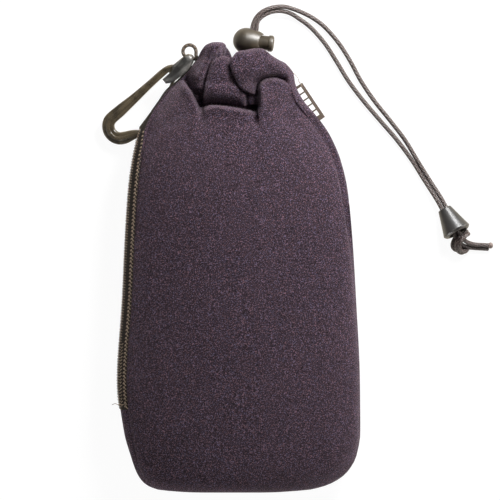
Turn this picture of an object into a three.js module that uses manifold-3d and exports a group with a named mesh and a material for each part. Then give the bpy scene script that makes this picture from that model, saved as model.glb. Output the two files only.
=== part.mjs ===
// A neoprene drawstring pouch that lies on its back, with its cord lock, cord end and snap hook.
// Millimetres. X runs to the right, Y towards the mouth and Z up, away from the surface it lies on.
// The origin is on the flat underside of the back panel, in the middle of the body.
import * as THREE from 'three';
import { mergeVertices } from 'three/addons/utils/BufferGeometryUtils.js';
import Module from 'manifold-3d';

const wasm = await Module();
wasm.setup();

// Clearances
const seatGap = 0.3;
const runningGap = 0.15;

// Neoprene sheet and casing
const sheetThickness = 2.6;
const channelWidth = 3;
const casingThickness = 2 * sheetThickness + channelWidth;
const casingHeight = 23;
const ringSteps = [6, 2, 2, 3, 2, 2, 6];
const frontRoundness = 2.2;
const backRoundness = 2.3;
const undersideHeight = 0;

// The body's outline: distance along the pouch, left edge, right edge, underside, widest height, top
const stations = [
  [-96.2, -32, 24, 9, 14.5, 21],
  [-94.8, -41, 35, 6, 14.5, 24.6],
  [-91.5, -48, 46, 2.9, 14.5, 27.6],
  [-86, -51.8, 53.6, 0.5, 14.5, 29.5],
  [-78, -54.6, 58.2, -0.6, 14.5, 30.7],
  [-66, -58, 60.2, -0.8, 14.5, 31.2],
  [-40, -61, 60, -0.8, 14.5, 31.4],
  [0, -58.6, 58.1, -0.8, 14.5, 31.2],
  [30, -57.3, 56.3, -0.8, 14.5, 31],
  [55, -55.6, 53.2, -0.8, 14.6, 30.6],
  [70, -53.5, 50, -0.7, 14.6, 30.2],
  [82, -50.6, 45.2, -0.3, 14.5, 29.6],
  [92, -45.1, 38.4, 0.2, 14.3, 28.9],
  [100, -38.8, 31.8, 0.8, 14, 28.6],
  [105.5, -34.3, 28.8, 1.3, 13.8, 28.6],
  [108.5, -29.6, 27.6, 2.2, 13.7, 27.5],
  [113, -27, 26.9, 1.5, 13.6, 28.1],
  [118, -23.6, 23.4, 1.5, 13.6, 27.9],
  [122, -21.2, 20.4, 1.8, 13.6, 27.6],
  [129, -20.8, 18.4, 2.4, 13.6, 27],
];
const casingRow = 113;
const runDepth = 5.4;
const lastPlainRow = 118;

// The rim's height along the front and the back, from left to right
const frontRim = [
  [-21.2, 121.6],
  [-19.6, 126.3],
  [-16, 128.5],
  [-10, 127.6],
  [-6.6, 125],
  [-5, 120.6],
  [-2, 123.6],
  [2, 124.8],
  [8, 125.6],
  [15, 125],
  [18, 123],
  [20.6, 120.6],
];
const backRim = [
  [-21.2, 121.6],
  [-12, 121.4],
  [0, 120.8],
  [10, 120.8],
  [20.6, 120.6],
];

// Gather folds, right valley first: where each one starts, where it meets the rim, and its depth
const foldStart = 91;
const foldFull = 102;
const rimEnd = 121;
const foldHalfWidth = 4.6;
const frontFolds = [
  { low: 8.5, high: -5.4, depth: 5 },
  { low: -20.5, high: -13, depth: 4.6 },
];
const backFolds = [
  { low: 18, high: 14.5, depth: 2.6 },
  { low: -14, high: -9, depth: 3 },
];
const casingFoldShare = 0.45;
const bodyFoldShare = 0.8;

// Side and base seams, where the two panels meet
const seamHeight = 17.8;
const seamBend = 60;
const seamMouth = 140;
const seamMouthHeight = 14.3;

// Drawcord
const cordDiameter = 2.2;
const cordSides = 8;
const cordStep = 5.5;

// Cord lock
const lockCentre = new THREE.Vector3(3, 129.85, 6.8);
const lockTilt = THREE.MathUtils.degToRad(-6.6);
const barrelRadius = 6.5;
const barrelNoseLength = 11.4;
const barrelRimX = 8.57;
const plungerRadius = 3.65;
const plungerTravel = 2.4;
const plungerWall = 1.2;
const buttonRadius = 4.1;
const buttonStart = barrelRimX + plungerTravel + seatGap;
const buttonLength = 2.9;
const boreStep = -3;
const springBoreEnd = -5.3;
const springRadius = 2.1;
const springWire = 0.5;
const springTurns = 5;
const cordHoleX = 3.5;
const strandSide = 1.03;
const strandRise = 0.72;
const scoopRadius = 5;
const scoopStart = 6.3;

// Cord end and knot
const bellNeck = new THREE.Vector3(102.45, 45.7, 4.85);
const bellHeading = THREE.MathUtils.degToRad(28.5);
const bellRise = THREE.MathUtils.degToRad(10.5);
const bellNeckRadius = 3.5;
const bellMouthRadius = 7.2;
const bellLength = 12.8;
const bellRimHeight = 1.2;
const bellWall = 1.3;
const neckWall = 2.4;
const bellStrandSide = 1.35;
const bellTravel = 5;
const knotCentre = new THREE.Vector3(110.6, 28.9, 5.1);
const knotRadius = 3.7;
const knotWrapSpacing = 2.1;
const tailBlobRadius = 1.55;

// Side label
const labelThickness = 0.8;
const labelSeat = 2.2;

// Hook loop and snap hook
const loopCentre = new THREE.Vector3(-25.25, 124.25, 14.8);
const loopRadius = 3.25;
const loopStrand = 1.6;
const hookOrigin = new THREE.Vector3(-27, 120, 14.8);
const hookHeading = THREE.MathUtils.degToRad(218.6);
const hookDrop = THREE.MathUtils.degToRad(11.9);
const hookThickness = 4.8;
const headThickness = 3.8;
const cuffWall = 0.8;
const cuffGap = 0.2;
const webRib = 1;
const webRecess = 1.3;
const hookBevel = 0.6;
const gatePivot = new THREE.Vector2(11.2, 3.75);
const gateWidth = 3.6;

const neoprene = { color: 0x43383f, roughness: 0.92, metalness: 0 };
const webbing = { color: 0x2a2729, roughness: 0.85, metalness: 0 };
const braid = { color: 0x4a4243, roughness: 0.8, metalness: 0 };
const hardPlastic = { color: 0x3b3835, roughness: 0.38, metalness: 0 };
const springWireSteel = { color: 0xa8a9ab, roughness: 0.3, metalness: 1 };

// Shared helpers

function toSolid(geometry) {
  const plain = geometry.clone();
  plain.deleteAttribute('normal');
  plain.deleteAttribute('uv');
  const merged = mergeVertices(plain, 1e-4);
  const mesh = new wasm.Mesh({
    numProp: 3,
    vertProperties: new Float32Array(merged.attributes.position.array),
    triVerts: new Uint32Array(merged.index.array),
  });
  return new wasm.Manifold(mesh);
}

function toGeometry(solid) {
  const mesh = solid.getMesh();
  const geometry = new THREE.BufferGeometry();
  geometry.setAttribute('position', new THREE.BufferAttribute(new Float32Array(mesh.vertProperties), 3));
  geometry.setIndex(new THREE.BufferAttribute(new Uint32Array(mesh.triVerts), 1));
  geometry.computeVertexNormals();
  return geometry;
}

function namedMesh(name, geometry, finish) {
  const mesh = new THREE.Mesh(geometry, new THREE.MeshStandardMaterial(finish));
  mesh.name = name;
  return mesh;
}

// A closed body from rings of equal length, with a fan over each end.
function loft(rings, startPoint, endPoint) {
  const count = rings[0].length;
  const positions = [];
  for (const ring of rings) {
    for (const point of ring) {
      positions.push(point.x, point.y, point.z);
    }
  }
  positions.push(startPoint.x, startPoint.y, startPoint.z);
  positions.push(endPoint.x, endPoint.y, endPoint.z);
  const start = rings.length * count;
  const end = start + 1;
  const last = (rings.length - 1) * count;
  const index = [];
  for (let i = 0; i < count; i += 1) {
    const j = (i + 1) % count;
    for (let row = 0; row < rings.length - 1; row += 1) {
      const low = row * count;
      const high = low + count;
      index.push(low + i, high + i, low + j);
      index.push(low + j, high + i, high + j);
    }
    index.push(start, i, j);
    index.push(end, last + j, last + i);
  }
  const geometry = new THREE.BufferGeometry();
  geometry.setAttribute('position', new THREE.Float32BufferAttribute(positions, 3));
  geometry.setIndex(index);
  return geometry;
}

function sweep(points, radius, sides, steps) {
  const section = new THREE.Shape();
  for (let i = 0; i < sides; i += 1) {
    const angle = (2 * Math.PI * (i + 0.5)) / sides;
    const x = radius * Math.cos(angle);
    const y = radius * Math.sin(angle);
    if (i === 0) {
      section.moveTo(x, y);
    } else {
      section.lineTo(x, y);
    }
  }
  const path = new THREE.CatmullRomCurve3(points, false, 'centripetal');
  return new THREE.ExtrudeGeometry(section, { steps, extrudePath: path });
}

function cordTube(points, radius = cordDiameter / 2) {
  const path = new THREE.CatmullRomCurve3(points, false, 'centripetal');
  return sweep(points, radius, cordSides, Math.round(path.getLength() / cordStep));
}

function plate(outline, thickness, bevel = 0) {
  const geometry = new THREE.ExtrudeGeometry(outline, {
    depth: thickness - 2 * bevel,
    bevelEnabled: bevel > 0,
    bevelSize: bevel,
    bevelThickness: bevel,
    bevelOffset: -bevel,
    bevelSegments: 2,
    curveSegments: 6,
  });
  geometry.translate(0, 0, -thickness / 2 + bevel);
  return geometry;
}

function turned(profile, segments) {
  return new THREE.LatheGeometry(profile.map(([radius, along]) => new THREE.Vector2(radius, along)), segments);
}

function between(list, value, column) {
  if (value <= list[0][0]) {
    return list[0][column];
  }
  for (let i = 1; i < list.length; i += 1) {
    if (value <= list[i][0]) {
      const share = (value - list[i - 1][0]) / (list[i][0] - list[i - 1][0]);
      return THREE.MathUtils.lerp(list[i - 1][column], list[i][column], share);
    }
  }
  return list[list.length - 1][column];
}

// Pouch

// Where a fold's valley runs at y, and how far it reaches to either side
function foldAt(folds, which, y) {
  const along = THREE.MathUtils.clamp((y - foldStart) / (rimEnd - foldStart), 0, 1);
  const [right, left] = folds.map((fold) => THREE.MathUtils.lerp(fold.low, fold.high, along));
  const inward = Math.min(foldHalfWidth, 0.45 * (right - left));
  const isRight = which === 0;
  return {
    centre: isRight ? right : left,
    leftReach: isRight ? inward : foldHalfWidth,
    rightReach: isRight ? foldHalfWidth : inward,
    depth: folds[which].depth * THREE.MathUtils.smoothstep(y, foldStart, foldFull),
  };
}

function foldShift(folds, x, y) {
  let shift = 0;
  for (const which of [0, 1]) {
    const fold = foldAt(folds, which, y);
    const offset = x - fold.centre;
    const width = offset < 0 ? fold.leftReach : fold.rightReach;
    shift += fold.depth * Math.max(0, 1 - Math.abs(offset) / width) ** 1.3;
  }
  return shift;
}

// A point of the pouch's cross-section at y, drawn in by inset, with a share of the gather folds.
function sectionPoint(angle, y, inset, foldShare) {
  const left = between(stations, y, 1) + inset;
  const right = between(stations, y, 2) - inset;
  const low = between(stations, y, 3) + inset;
  const middle = between(stations, y, 4);
  const high = between(stations, y, 5) - inset;
  const cosine = Math.cos(angle);
  const sine = Math.sin(angle);
  const isFront = sine >= 0;
  const power = 2 / (isFront ? frontRoundness : backRoundness);
  const x = (left + right) / 2 + ((right - left) / 2) * Math.sign(cosine) * Math.abs(cosine) ** power;
  const rise = (isFront ? high - middle : middle - low) * Math.abs(sine) ** power;
  if (isFront) {
    const shift = Math.min(foldShare * foldShift(frontFolds, x, y), rise);
    return new THREE.Vector3(x, y, middle + rise - shift);
  }
  const shift = Math.min(foldShare * foldShift(backFolds, x, y), rise);
  return new THREE.Vector3(x, y, Math.max(middle - rise + shift, undersideHeight + inset));
}

// The angle at which one face of the cross-section at y passes x
function angleOf(x, y, inset, roundness) {
  const left = between(stations, y, 1) + inset;
  const right = between(stations, y, 2) - inset;
  const share = THREE.MathUtils.clamp((2 * x - left - right) / (right - left), -0.97, 0.97);
  return Math.acos(Math.sign(share) * Math.abs(share) ** (roundness / 2));
}

// Angles round the cross-section at y, set so that rows of points run along the folds.
function ringAngles(y, inset) {
  const faces = [
    { folds: frontFolds, roundness: frontRoundness },
    { folds: backFolds, roundness: backRoundness },
  ];
  const angles = faces.map(({ folds, roundness }) => {
    const knots = [0];
    for (const which of [0, 1]) {
      const fold = foldAt(folds, which, y);
      for (const x of [fold.centre + fold.rightReach, fold.centre, fold.centre - fold.leftReach]) {
        knots.push(angleOf(x, y, inset, roundness));
      }
    }
    knots.push(Math.PI);
    const list = [];
    ringSteps.forEach((steps, part) => {
      for (let i = 0; i < steps; i += 1) {
        list.push(THREE.MathUtils.lerp(knots[part], knots[part + 1], i / steps));
      }
    });
    return list;
  });
  const back = angles[1].slice(1).map((angle) => 2 * Math.PI - angle);
  return [...angles[0], Math.PI, ...back.reverse()];
}

function sectionRing(y, inset, foldShare) {
  return ringAngles(y, inset).map((angle) => sectionPoint(angle, y, inset, foldShare));
}

// A ring near the rim: it follows the rim's height, lowered by drop and drawn in by inset.
function rimRing(drop, inset) {
  return ringAngles(rimEnd, inset).map((angle) => {
    const x = sectionPoint(angle, rimEnd, 0, 1).x;
    const height = between(Math.sin(angle) >= 0 ? frontRim : backRim, x, 1);
    const share = THREE.MathUtils.lerp(1, casingFoldShare, inset / casingThickness);
    return sectionPoint(angle, height - drop, inset, share);
  });
}

function middleOf(y) {
  const x = (between(stations, y, 1) + between(stations, y, 2)) / 2;
  return new THREE.Vector3(x, y, between(stations, y, 4));
}

function pouchShell() {
  const outerRings = stations.filter(([y]) => y <= lastPlainRow).map(([y]) => sectionRing(y, 0, 1));
  const lip = sheetThickness;
  outerRings.push(rimRing(0.4 * lip, 0));
  outerRings.push(rimRing(0.1 * lip, 0.3 * lip));
  outerRings.push(rimRing(0, lip));
  outerRings.push(rimRing(0.1 * lip, casingThickness - lip));
  outerRings.push(rimRing(lip, casingThickness + 0.3));
  const floorY = stations[0][0];
  const outer = loft(outerRings, middleOf(floorY), middleOf(rimEnd - 2 * lip));

  const casingFoot = rimEnd - casingHeight;
  const innerRings = [sectionRing(floorY + sheetThickness, 2 * sheetThickness, 0)];
  for (const [y] of stations) {
    if (y > floorY + sheetThickness && y < casingFoot - sheetThickness) {
      innerRings.push(sectionRing(y, sheetThickness, bodyFoldShare));
    }
  }
  innerRings.push(sectionRing(casingFoot - sheetThickness, sheetThickness, bodyFoldShare));
  for (const y of [casingFoot, casingFoot + 6, casingRow, lastPlainRow, rimEnd, seamMouth]) {
    innerRings.push(sectionRing(y, casingThickness, casingFoldShare));
  }
  const inner = loft(innerRings, middleOf(floorY + sheetThickness), middleOf(seamMouth));
  return toSolid(outer).subtract(toSolid(inner));
}

// The half space above or below the seams, short of them by half the gap.
function seamBlock(isFront) {
  const offset = (isFront ? 0.5 : -0.5) * seatGap;
  const reach = 1.5 * stations.at(-1)[0];
  const far = isFront ? reach : -reach;
  const side = new THREE.Shape();
  side.moveTo(-reach, seamHeight + offset);
  side.lineTo(seamBend, seamHeight + offset);
  side.lineTo(seamMouth, seamMouthHeight + offset);
  side.lineTo(seamMouth, far);
  side.lineTo(-reach, far);
  const geometry = new THREE.ExtrudeGeometry(side, { depth: 2 * reach, bevelEnabled: false });
  const axes = new THREE.Matrix4().makeBasis(
    new THREE.Vector3(0, 1, 0),
    new THREE.Vector3(0, 0, 1),
    new THREE.Vector3(1, 0, 0),
  );
  geometry.translate(0, 0, -reach);
  geometry.applyMatrix4(axes);
  return toSolid(geometry);
}

// Drawcord: up the back of the rim, round the mouth inside the casing and back up beside itself.

function lockPoint(x, y, z) {
  const point = new THREE.Vector3(x, y, z);
  point.applyAxisAngle(new THREE.Vector3(0, 0, 1), lockTilt);
  return point.add(lockCentre);
}

const rimExitY = 120.2;
const exitLeft = new THREE.Vector3(4.1, rimExitY, 6.6);
const exitRight = new THREE.Vector3(7.1, rimExitY, 6);

function casingPoint(degrees) {
  const angle = THREE.MathUtils.degToRad(degrees);
  return sectionPoint(angle, casingRow, runDepth, casingFoldShare);
}

function casingRun() {
  const points = [
    new THREE.Vector3(exitRight.x, rimExitY - seatGap, exitRight.z),
    new THREE.Vector3(exitRight.x + 0.2, 117, 5.8),
    new THREE.Vector3(9.8, 113.9, 5.6),
  ];
  for (let degrees = -55; degrees <= 235; degrees += 14.5) {
    points.push(casingPoint(degrees));
  }
  points.push(new THREE.Vector3(1.4, 113.9, 5.6));
  points.push(new THREE.Vector3(exitLeft.x - 0.2, 117, 6.1));
  points.push(new THREE.Vector3(exitLeft.x, rimExitY - seatGap, exitLeft.z));
  return points;
}

function casingTunnel() {
  const radius = channelWidth / 2;
  let solid = toSolid(cordTube(casingRun(), radius));
  for (const exit of [exitLeft, exitRight]) {
    const mouth = new THREE.CylinderGeometry(radius, radius, 6, 12);
    mouth.translate(exit.x, rimExitY + 1.5, exit.z);
    solid = solid.add(toSolid(mouth));
  }
  return solid;
}

const bellAxis = new THREE.Vector3(
  Math.sin(bellHeading) * Math.cos(bellRise),
  -Math.cos(bellHeading) * Math.cos(bellRise),
  Math.sin(bellRise),
);
const bellAcross = new THREE.Vector3(Math.cos(bellHeading), Math.sin(bellHeading), 0);

function bellPoint(along, across) {
  return bellNeck.clone().addScaledVector(bellAxis, along).addScaledVector(bellAcross, across);
}

const lockTop = 6.6;
const strandStraight = 5.5;
const strandEnd = bellLength + bellRimHeight - 0.6;

const upperCord = [
  exitLeft,
  new THREE.Vector3(exitLeft.x, rimExitY + 0.9, exitLeft.z + 0.15),
  lockPoint(cordHoleX - strandSide, -lockTop, strandRise),
  lockPoint(cordHoleX - strandSide, 0, strandRise),
  lockPoint(cordHoleX - strandSide, lockTop, strandRise),
  lockPoint(cordHoleX - strandSide, lockTop + strandStraight, strandRise),
  new THREE.Vector3(8.8, 143.6, 7.6),
  new THREE.Vector3(12.2, 145.7, 7),
  new THREE.Vector3(16.8, 146.6, 6.1),
  new THREE.Vector3(21.5, 146.6, 5.1),
  new THREE.Vector3(26.5, 145.9, 3.9),
  new THREE.Vector3(31.5, 144, 2.7),
  new THREE.Vector3(37.2, 141, 1.7),
  new THREE.Vector3(42.4, 137, 1.25),
  new THREE.Vector3(49.4, 129, 1.2),
  new THREE.Vector3(55.2, 120, 1.2),
  new THREE.Vector3(60.6, 110, 1.2),
  new THREE.Vector3(67.3, 100, 1.2),
  new THREE.Vector3(75.3, 90, 1.2),
  new THREE.Vector3(82.9, 80, 1.2),
  new THREE.Vector3(89.3, 70, 1.2),
  new THREE.Vector3(94.9, 61.2, 1.6),
  bellPoint(-bellTravel - 0.6, bellStrandSide),
  bellPoint(0, bellStrandSide),
  bellPoint(strandEnd, bellStrandSide),
];

const lowerCord = [
  exitRight,
  new THREE.Vector3(exitRight.x, rimExitY + 0.9, exitRight.z),
  lockPoint(cordHoleX + strandSide, -lockTop, -strandRise),
  lockPoint(cordHoleX + strandSide, 0, -strandRise),
  lockPoint(cordHoleX + strandSide, lockTop, -strandRise),
  lockPoint(cordHoleX + strandSide, lockTop + strandStraight, -strandRise),
  new THREE.Vector3(10.4, 142.3, 5.9),
  new THREE.Vector3(13.5, 143.8, 5.3),
  new THREE.Vector3(17.5, 144.2, 4.5),
  new THREE.Vector3(21.8, 143.9, 3.6),
  new THREE.Vector3(25.6, 142.9, 2.7),
  new THREE.Vector3(29.7, 141, 1.8),
  new THREE.Vector3(35.1, 137, 1.25),
  new THREE.Vector3(42.3, 129, 1.2),
  new THREE.Vector3(48.2, 120, 1.2),
  new THREE.Vector3(54.3, 110, 1.2),
  new THREE.Vector3(61.8, 100, 1.2),
  new THREE.Vector3(70.3, 90, 1.2),
  new THREE.Vector3(78.9, 80, 1.2),
  new THREE.Vector3(86.2, 70, 1.2),
  new THREE.Vector3(92.1, 60.2, 1.6),
  bellPoint(-bellTravel - 0.6, -bellStrandSide),
  bellPoint(0, -bellStrandSide),
  bellPoint(strandEnd, -bellStrandSide),
];

// An overhand knot: three wraps round a core, with both tails laid off to the side.
function knotGeometry() {
  const radius = cordDiameter / 2;
  const core = new THREE.SphereGeometry(knotRadius, 12, 8);
  core.translate(knotCentre.x, knotCentre.y, knotCentre.z);
  let solid = toSolid(core);
  for (const place of [-1, 0, 1]) {
    const wrap = new THREE.TorusGeometry(knotRadius - 0.1, radius + 0.15, 6, 16);
    wrap.rotateX(Math.PI / 2);
    wrap.rotateZ(THREE.MathUtils.degToRad(34 + 14 * place));
    wrap.translate(knotCentre.x, knotCentre.y - knotWrapSpacing * place, knotCentre.z);
    solid = solid.add(toSolid(wrap));
  }
  const upperTail = [
    new THREE.Vector3(111, 28.4, 5.4),
    new THREE.Vector3(116, 28, 3.4),
    new THREE.Vector3(121, 27.5, 2.1),
    new THREE.Vector3(125.4, 27.1, 1.7),
  ];
  const lowerTail = [
    new THREE.Vector3(111, 26.8, 4.2),
    new THREE.Vector3(116, 25.8, 2.3),
    new THREE.Vector3(120.5, 25.3, 1.4),
    new THREE.Vector3(124.4, 24.9, 1.2),
  ];
  for (const tail of [upperTail, lowerTail]) {
    solid = solid.add(toSolid(sweep(tail, radius, cordSides, 4)));
  }
  const blob = new THREE.SphereGeometry(tailBlobRadius, 10, 6);
  blob.translate(upperTail[3].x, upperTail[3].y, upperTail[3].z);
  return toGeometry(solid.add(toSolid(blob)));
}

function bellFrame() {
  const across = bellAcross.clone();
  const up = new THREE.Vector3().crossVectors(across, bellAxis);
  return new THREE.Matrix4().makeBasis(across, bellAxis, up);
}

function stadium(halfLength, halfWidth) {
  const shape = new THREE.Shape();
  const straight = halfLength - halfWidth;
  shape.moveTo(-straight, -halfWidth);
  shape.lineTo(straight, -halfWidth);
  shape.absarc(straight, 0, halfWidth, -Math.PI / 2, Math.PI / 2, false);
  shape.lineTo(-straight, halfWidth);
  shape.absarc(-straight, 0, halfWidth, Math.PI / 2, 1.5 * Math.PI, false);
  return shape;
}

function bellGeometry() {
  const end = bellLength + bellRimHeight;
  const body = turned(
    [
      [0, 0],
      [bellNeckRadius - 0.3, 0],
      [bellNeckRadius, 0.3],
      [bellMouthRadius, bellLength],
      [bellMouthRadius - 0.8, end],
      [bellMouthRadius - bellWall, end],
      [bellStrandSide + cordDiameter / 2 + seatGap + 0.2, neckWall],
      [0, neckWall],
    ],
    24,
  );
  const clearRadius = cordDiameter / 2 + seatGap;
  const slot = new THREE.ExtrudeGeometry(stadium(bellStrandSide + clearRadius, clearRadius), {
    depth: 2 * neckWall,
    bevelEnabled: false,
    curveSegments: 6,
  });
  slot.rotateX(-Math.PI / 2);
  slot.translate(0, -neckWall / 2, 0);
  return toGeometry(toSolid(body).subtract(toSolid(slot)));
}

// Cord lock, in its own frame: X along the plunger, Y along the cord hole.

function barrelGeometry() {
  const bore = plungerRadius + runningGap;
  const profile = [];
  const poleSteps = 7;
  for (let i = 0; i <= poleSteps; i += 1) {
    const angle = (Math.PI / 2) * (i / poleSteps);
    profile.push([barrelRadius * Math.sin(angle), -barrelRadius * Math.cos(angle)]);
  }
  const noseSteps = 4;
  for (let i = 1; i <= noseSteps; i += 1) {
    const along = (barrelRimX * i) / noseSteps;
    profile.push([barrelRadius * Math.sqrt(1 - (along / barrelNoseLength) ** 2), along]);
  }
  profile.push([bore, barrelRimX]);
  profile.push([bore, boreStep]);
  profile.push([springRadius + springWire, boreStep]);
  profile.push([springRadius + springWire, springBoreEnd]);
  profile.push([0, springBoreEnd]);
  profile[0][0] = 0;
  const body = turned(profile, 28);
  body.rotateZ(-Math.PI / 2);
  const holeRadius = Math.hypot(strandSide, strandRise) + cordDiameter / 2 + seatGap;
  const hole = new THREE.CylinderGeometry(holeRadius, holeRadius, 4 * barrelRadius, 20);
  hole.translate(cordHoleX, 0, 0);
  const scoop = new THREE.CylinderGeometry(scoopRadius, scoopRadius, 4 * barrelRadius, 28);
  scoop.rotateX(Math.PI / 2);
  scoop.translate(scoopStart + scoopRadius, 0, 0);
  return toGeometry(toSolid(body).subtract(toSolid(hole)).subtract(toSolid(scoop)));
}

const slotStart = cordHoleX - strandSide - cordDiameter / 2 - seatGap;
const slotEnd = cordHoleX + strandSide + cordDiameter / 2 + seatGap + plungerTravel;
const plungerStart = slotStart - plungerWall;

function plungerGeometry() {
  const buttonEnd = buttonStart + buttonLength;
  const body = turned(
    [
      [0, plungerStart],
      [plungerRadius, plungerStart],
      [plungerRadius, buttonStart],
      [buttonRadius, buttonStart + 0.2],
      [buttonRadius, buttonEnd - 1.3],
      [buttonRadius - 0.5, buttonEnd - 0.5],
      [buttonRadius - 1.6, buttonEnd - 0.1],
      [0, buttonEnd],
    ],
    28,
  );
  body.rotateZ(-Math.PI / 2);
  const slotHalf = strandRise + cordDiameter / 2 + seatGap;
  const slot = plate(stadium((slotEnd - slotStart) / 2, slotHalf), 4 * plungerRadius);
  slot.rotateX(Math.PI / 2);
  slot.translate((slotStart + slotEnd) / 2, 0, 0);
  return toGeometry(toSolid(body).subtract(toSolid(slot)));
}

function springGeometry() {
  const start = springBoreEnd + seatGap + springWire / 2;
  const end = plungerStart - seatGap - springWire / 2;
  const perTurn = 8;
  const points = [];
  for (let i = 0; i <= springTurns * perTurn; i += 1) {
    const angle = (2 * Math.PI * i) / perTurn;
    const along = THREE.MathUtils.lerp(start, end, i / (springTurns * perTurn));
    points.push(new THREE.Vector3(along, springRadius * Math.cos(angle), springRadius * Math.sin(angle)));
  }
  return sweep(points, springWire / 2, 5, springTurns * perTurn);
}

// Snap hook, in its own frame: X along the spine, Y towards the gate, Z out of the flat face.

function hookFrame() {
  const along = new THREE.Vector3(
    Math.cos(hookHeading) * Math.cos(hookDrop),
    Math.sin(hookHeading) * Math.cos(hookDrop),
    -Math.sin(hookDrop),
  );
  const across = new THREE.Vector3(-Math.sin(hookHeading), Math.cos(hookHeading), 0);
  const up = new THREE.Vector3().crossVectors(along, across);
  return new THREE.Matrix4().makeBasis(along, across, up).setPosition(hookOrigin);
}

// Centre line of the spine, the bend and the nose: along, across, half width
const bendCentre = new THREE.Vector2(47.4, 5.2);
const bendRadius = 6.1;
const bendHalf = 3.05;

function hookCentreLine() {
  const points = [
    new THREE.Vector3(9.2, -2.1, 1.5),
    new THREE.Vector3(13, -2.4, 1.75),
    new THREE.Vector3(22, -1.95, 1.85),
    new THREE.Vector3(33, -1.3, 2.35),
    new THREE.Vector3(42.5, -0.95, 2.95),
  ];
  for (const degrees of [-68, -40, -12, 16, 44, 72]) {
    const angle = THREE.MathUtils.degToRad(degrees);
    const x = bendCentre.x + bendRadius * Math.cos(angle);
    const y = bendCentre.y + bendRadius * Math.sin(angle);
    points.push(new THREE.Vector3(x, y, bendHalf));
  }
  points.push(new THREE.Vector3(45.3, 12.4, 2.5));
  points.push(new THREE.Vector3(42.4, 13.7, 1.8));
  points.push(new THREE.Vector3(40.3, 14.8, 0.9));
  return new THREE.CatmullRomCurve3(points, false, 'centripetal');
}

function ribbonShape(curve, from, to, margin, count) {
  const left = [];
  const right = [];
  for (let i = 0; i <= count; i += 1) {
    const share = THREE.MathUtils.lerp(from, to, i / count);
    const point = curve.getPointAt(share);
    const tangent = curve.getTangentAt(share);
    const length = Math.hypot(tangent.x, tangent.y);
    const half = point.z - margin;
    const nx = (-tangent.y / length) * half;
    const ny = (tangent.x / length) * half;
    left.push(new THREE.Vector2(point.x + nx, point.y + ny));
    right.push(new THREE.Vector2(point.x - nx, point.y - ny));
  }
  return new THREE.Shape([...right, ...left.reverse()]);
}

function eyeTorus() {
  const torus = new THREE.TorusGeometry(loopRadius, loopStrand / 2 + seatGap + 0.05, 10, 32);
  torus.translate(loopCentre.x, loopCentre.y, loopCentre.z);
  torus.applyMatrix4(hookFrame().invert());
  return toSolid(torus);
}

function headShape() {
  const shape = new THREE.Shape();
  shape.moveTo(10.5, -1.4);
  shape.lineTo(10.5, 1.2);
  shape.lineTo(8, 2.4);
  shape.lineTo(-1.2, 2.2);
  shape.quadraticCurveTo(-3.6, 1.6, -3.6, 0);
  shape.quadraticCurveTo(-3.6, -1.8, -1.6, -2.1);
  shape.lineTo(7, -2.1);
  return shape;
}

function hookBodyGeometry() {
  const curve = hookCentreLine();
  let solid = toSolid(plate(ribbonShape(curve, 0, 1, 0, 40), hookThickness, hookBevel));
  solid = solid.add(toSolid(plate(headShape(), headThickness, 0.4)));
  const recess = ribbonShape(curve, 0.09, 0.9, webRib, 34);
  for (const side of [-1, 1]) {
    const pocket = plate(recess, 2 * webRecess);
    pocket.translate(0, 0, (side * hookThickness) / 2);
    solid = solid.subtract(toSolid(pocket));
  }
  return toGeometry(solid.subtract(eyeTorus()));
}

function cuffShape() {
  const shape = new THREE.Shape();
  shape.moveTo(-1, -1.5);
  shape.lineTo(6.6, -2);
  shape.lineTo(8, -0.1);
  shape.lineTo(15, 0.2);
  shape.lineTo(15, 2.9);
  shape.quadraticCurveTo(12, 4.8, 8, 4.7);
  shape.quadraticCurveTo(3, 4.5, -1.6, 2.6);
  shape.quadraticCurveTo(-3.9, 1.4, -3.7, 0.2);
  shape.quadraticCurveTo(-3.4, -1.2, -1, -1.5);
  return shape;
}

// The cuff is a folded cover: two plates over the head, joined along the gate's side.
function cuffGeometry() {
  const inside = headThickness + 2 * cuffGap;
  const outside = inside + 2 * cuffWall;
  const body = toSolid(plate(cuffShape(), outside, 0.4));
  const hollow = new THREE.Shape();
  hollow.moveTo(-8, -8);
  hollow.lineTo(20, -8);
  hollow.lineTo(20, 8);
  hollow.lineTo(gatePivot.x - 1.6, 8);
  hollow.lineTo(gatePivot.x - 1.6, 2.4 + cuffGap);
  hollow.lineTo(3, 2.4 + cuffGap);
  hollow.lineTo(1.2, 8);
  hollow.lineTo(-8, 8);
  const slot = plate(hollow, inside);
  return toGeometry(body.subtract(toSolid(slot)));
}

// The gate leaf: a round root in the cuff, and a leaf that reaches the inside of the nose.
function gateGeometry() {
  const rootRadius = 1;
  const root = new THREE.CylinderGeometry(rootRadius, rootRadius, gateWidth, 16);
  root.rotateX(Math.PI / 2);
  root.translate(gatePivot.x, gatePivot.y, 0);
  const leaf = new THREE.Shape();
  leaf.moveTo(gatePivot.x, gatePivot.y - 0.8);
  leaf.lineTo(14.5, 4.9);
  leaf.lineTo(28, 8.5);
  leaf.lineTo(39.6, 11.4);
  leaf.quadraticCurveTo(40.6, 12.2, 39.8, 13.1);
  leaf.lineTo(38.6, 13);
  leaf.lineTo(28, 10.2);
  leaf.lineTo(14.5, 6.3);
  leaf.lineTo(gatePivot.x, gatePivot.y + 0.9);
  return toGeometry(toSolid(root).add(toSolid(plate(leaf, gateWidth))));
}

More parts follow.
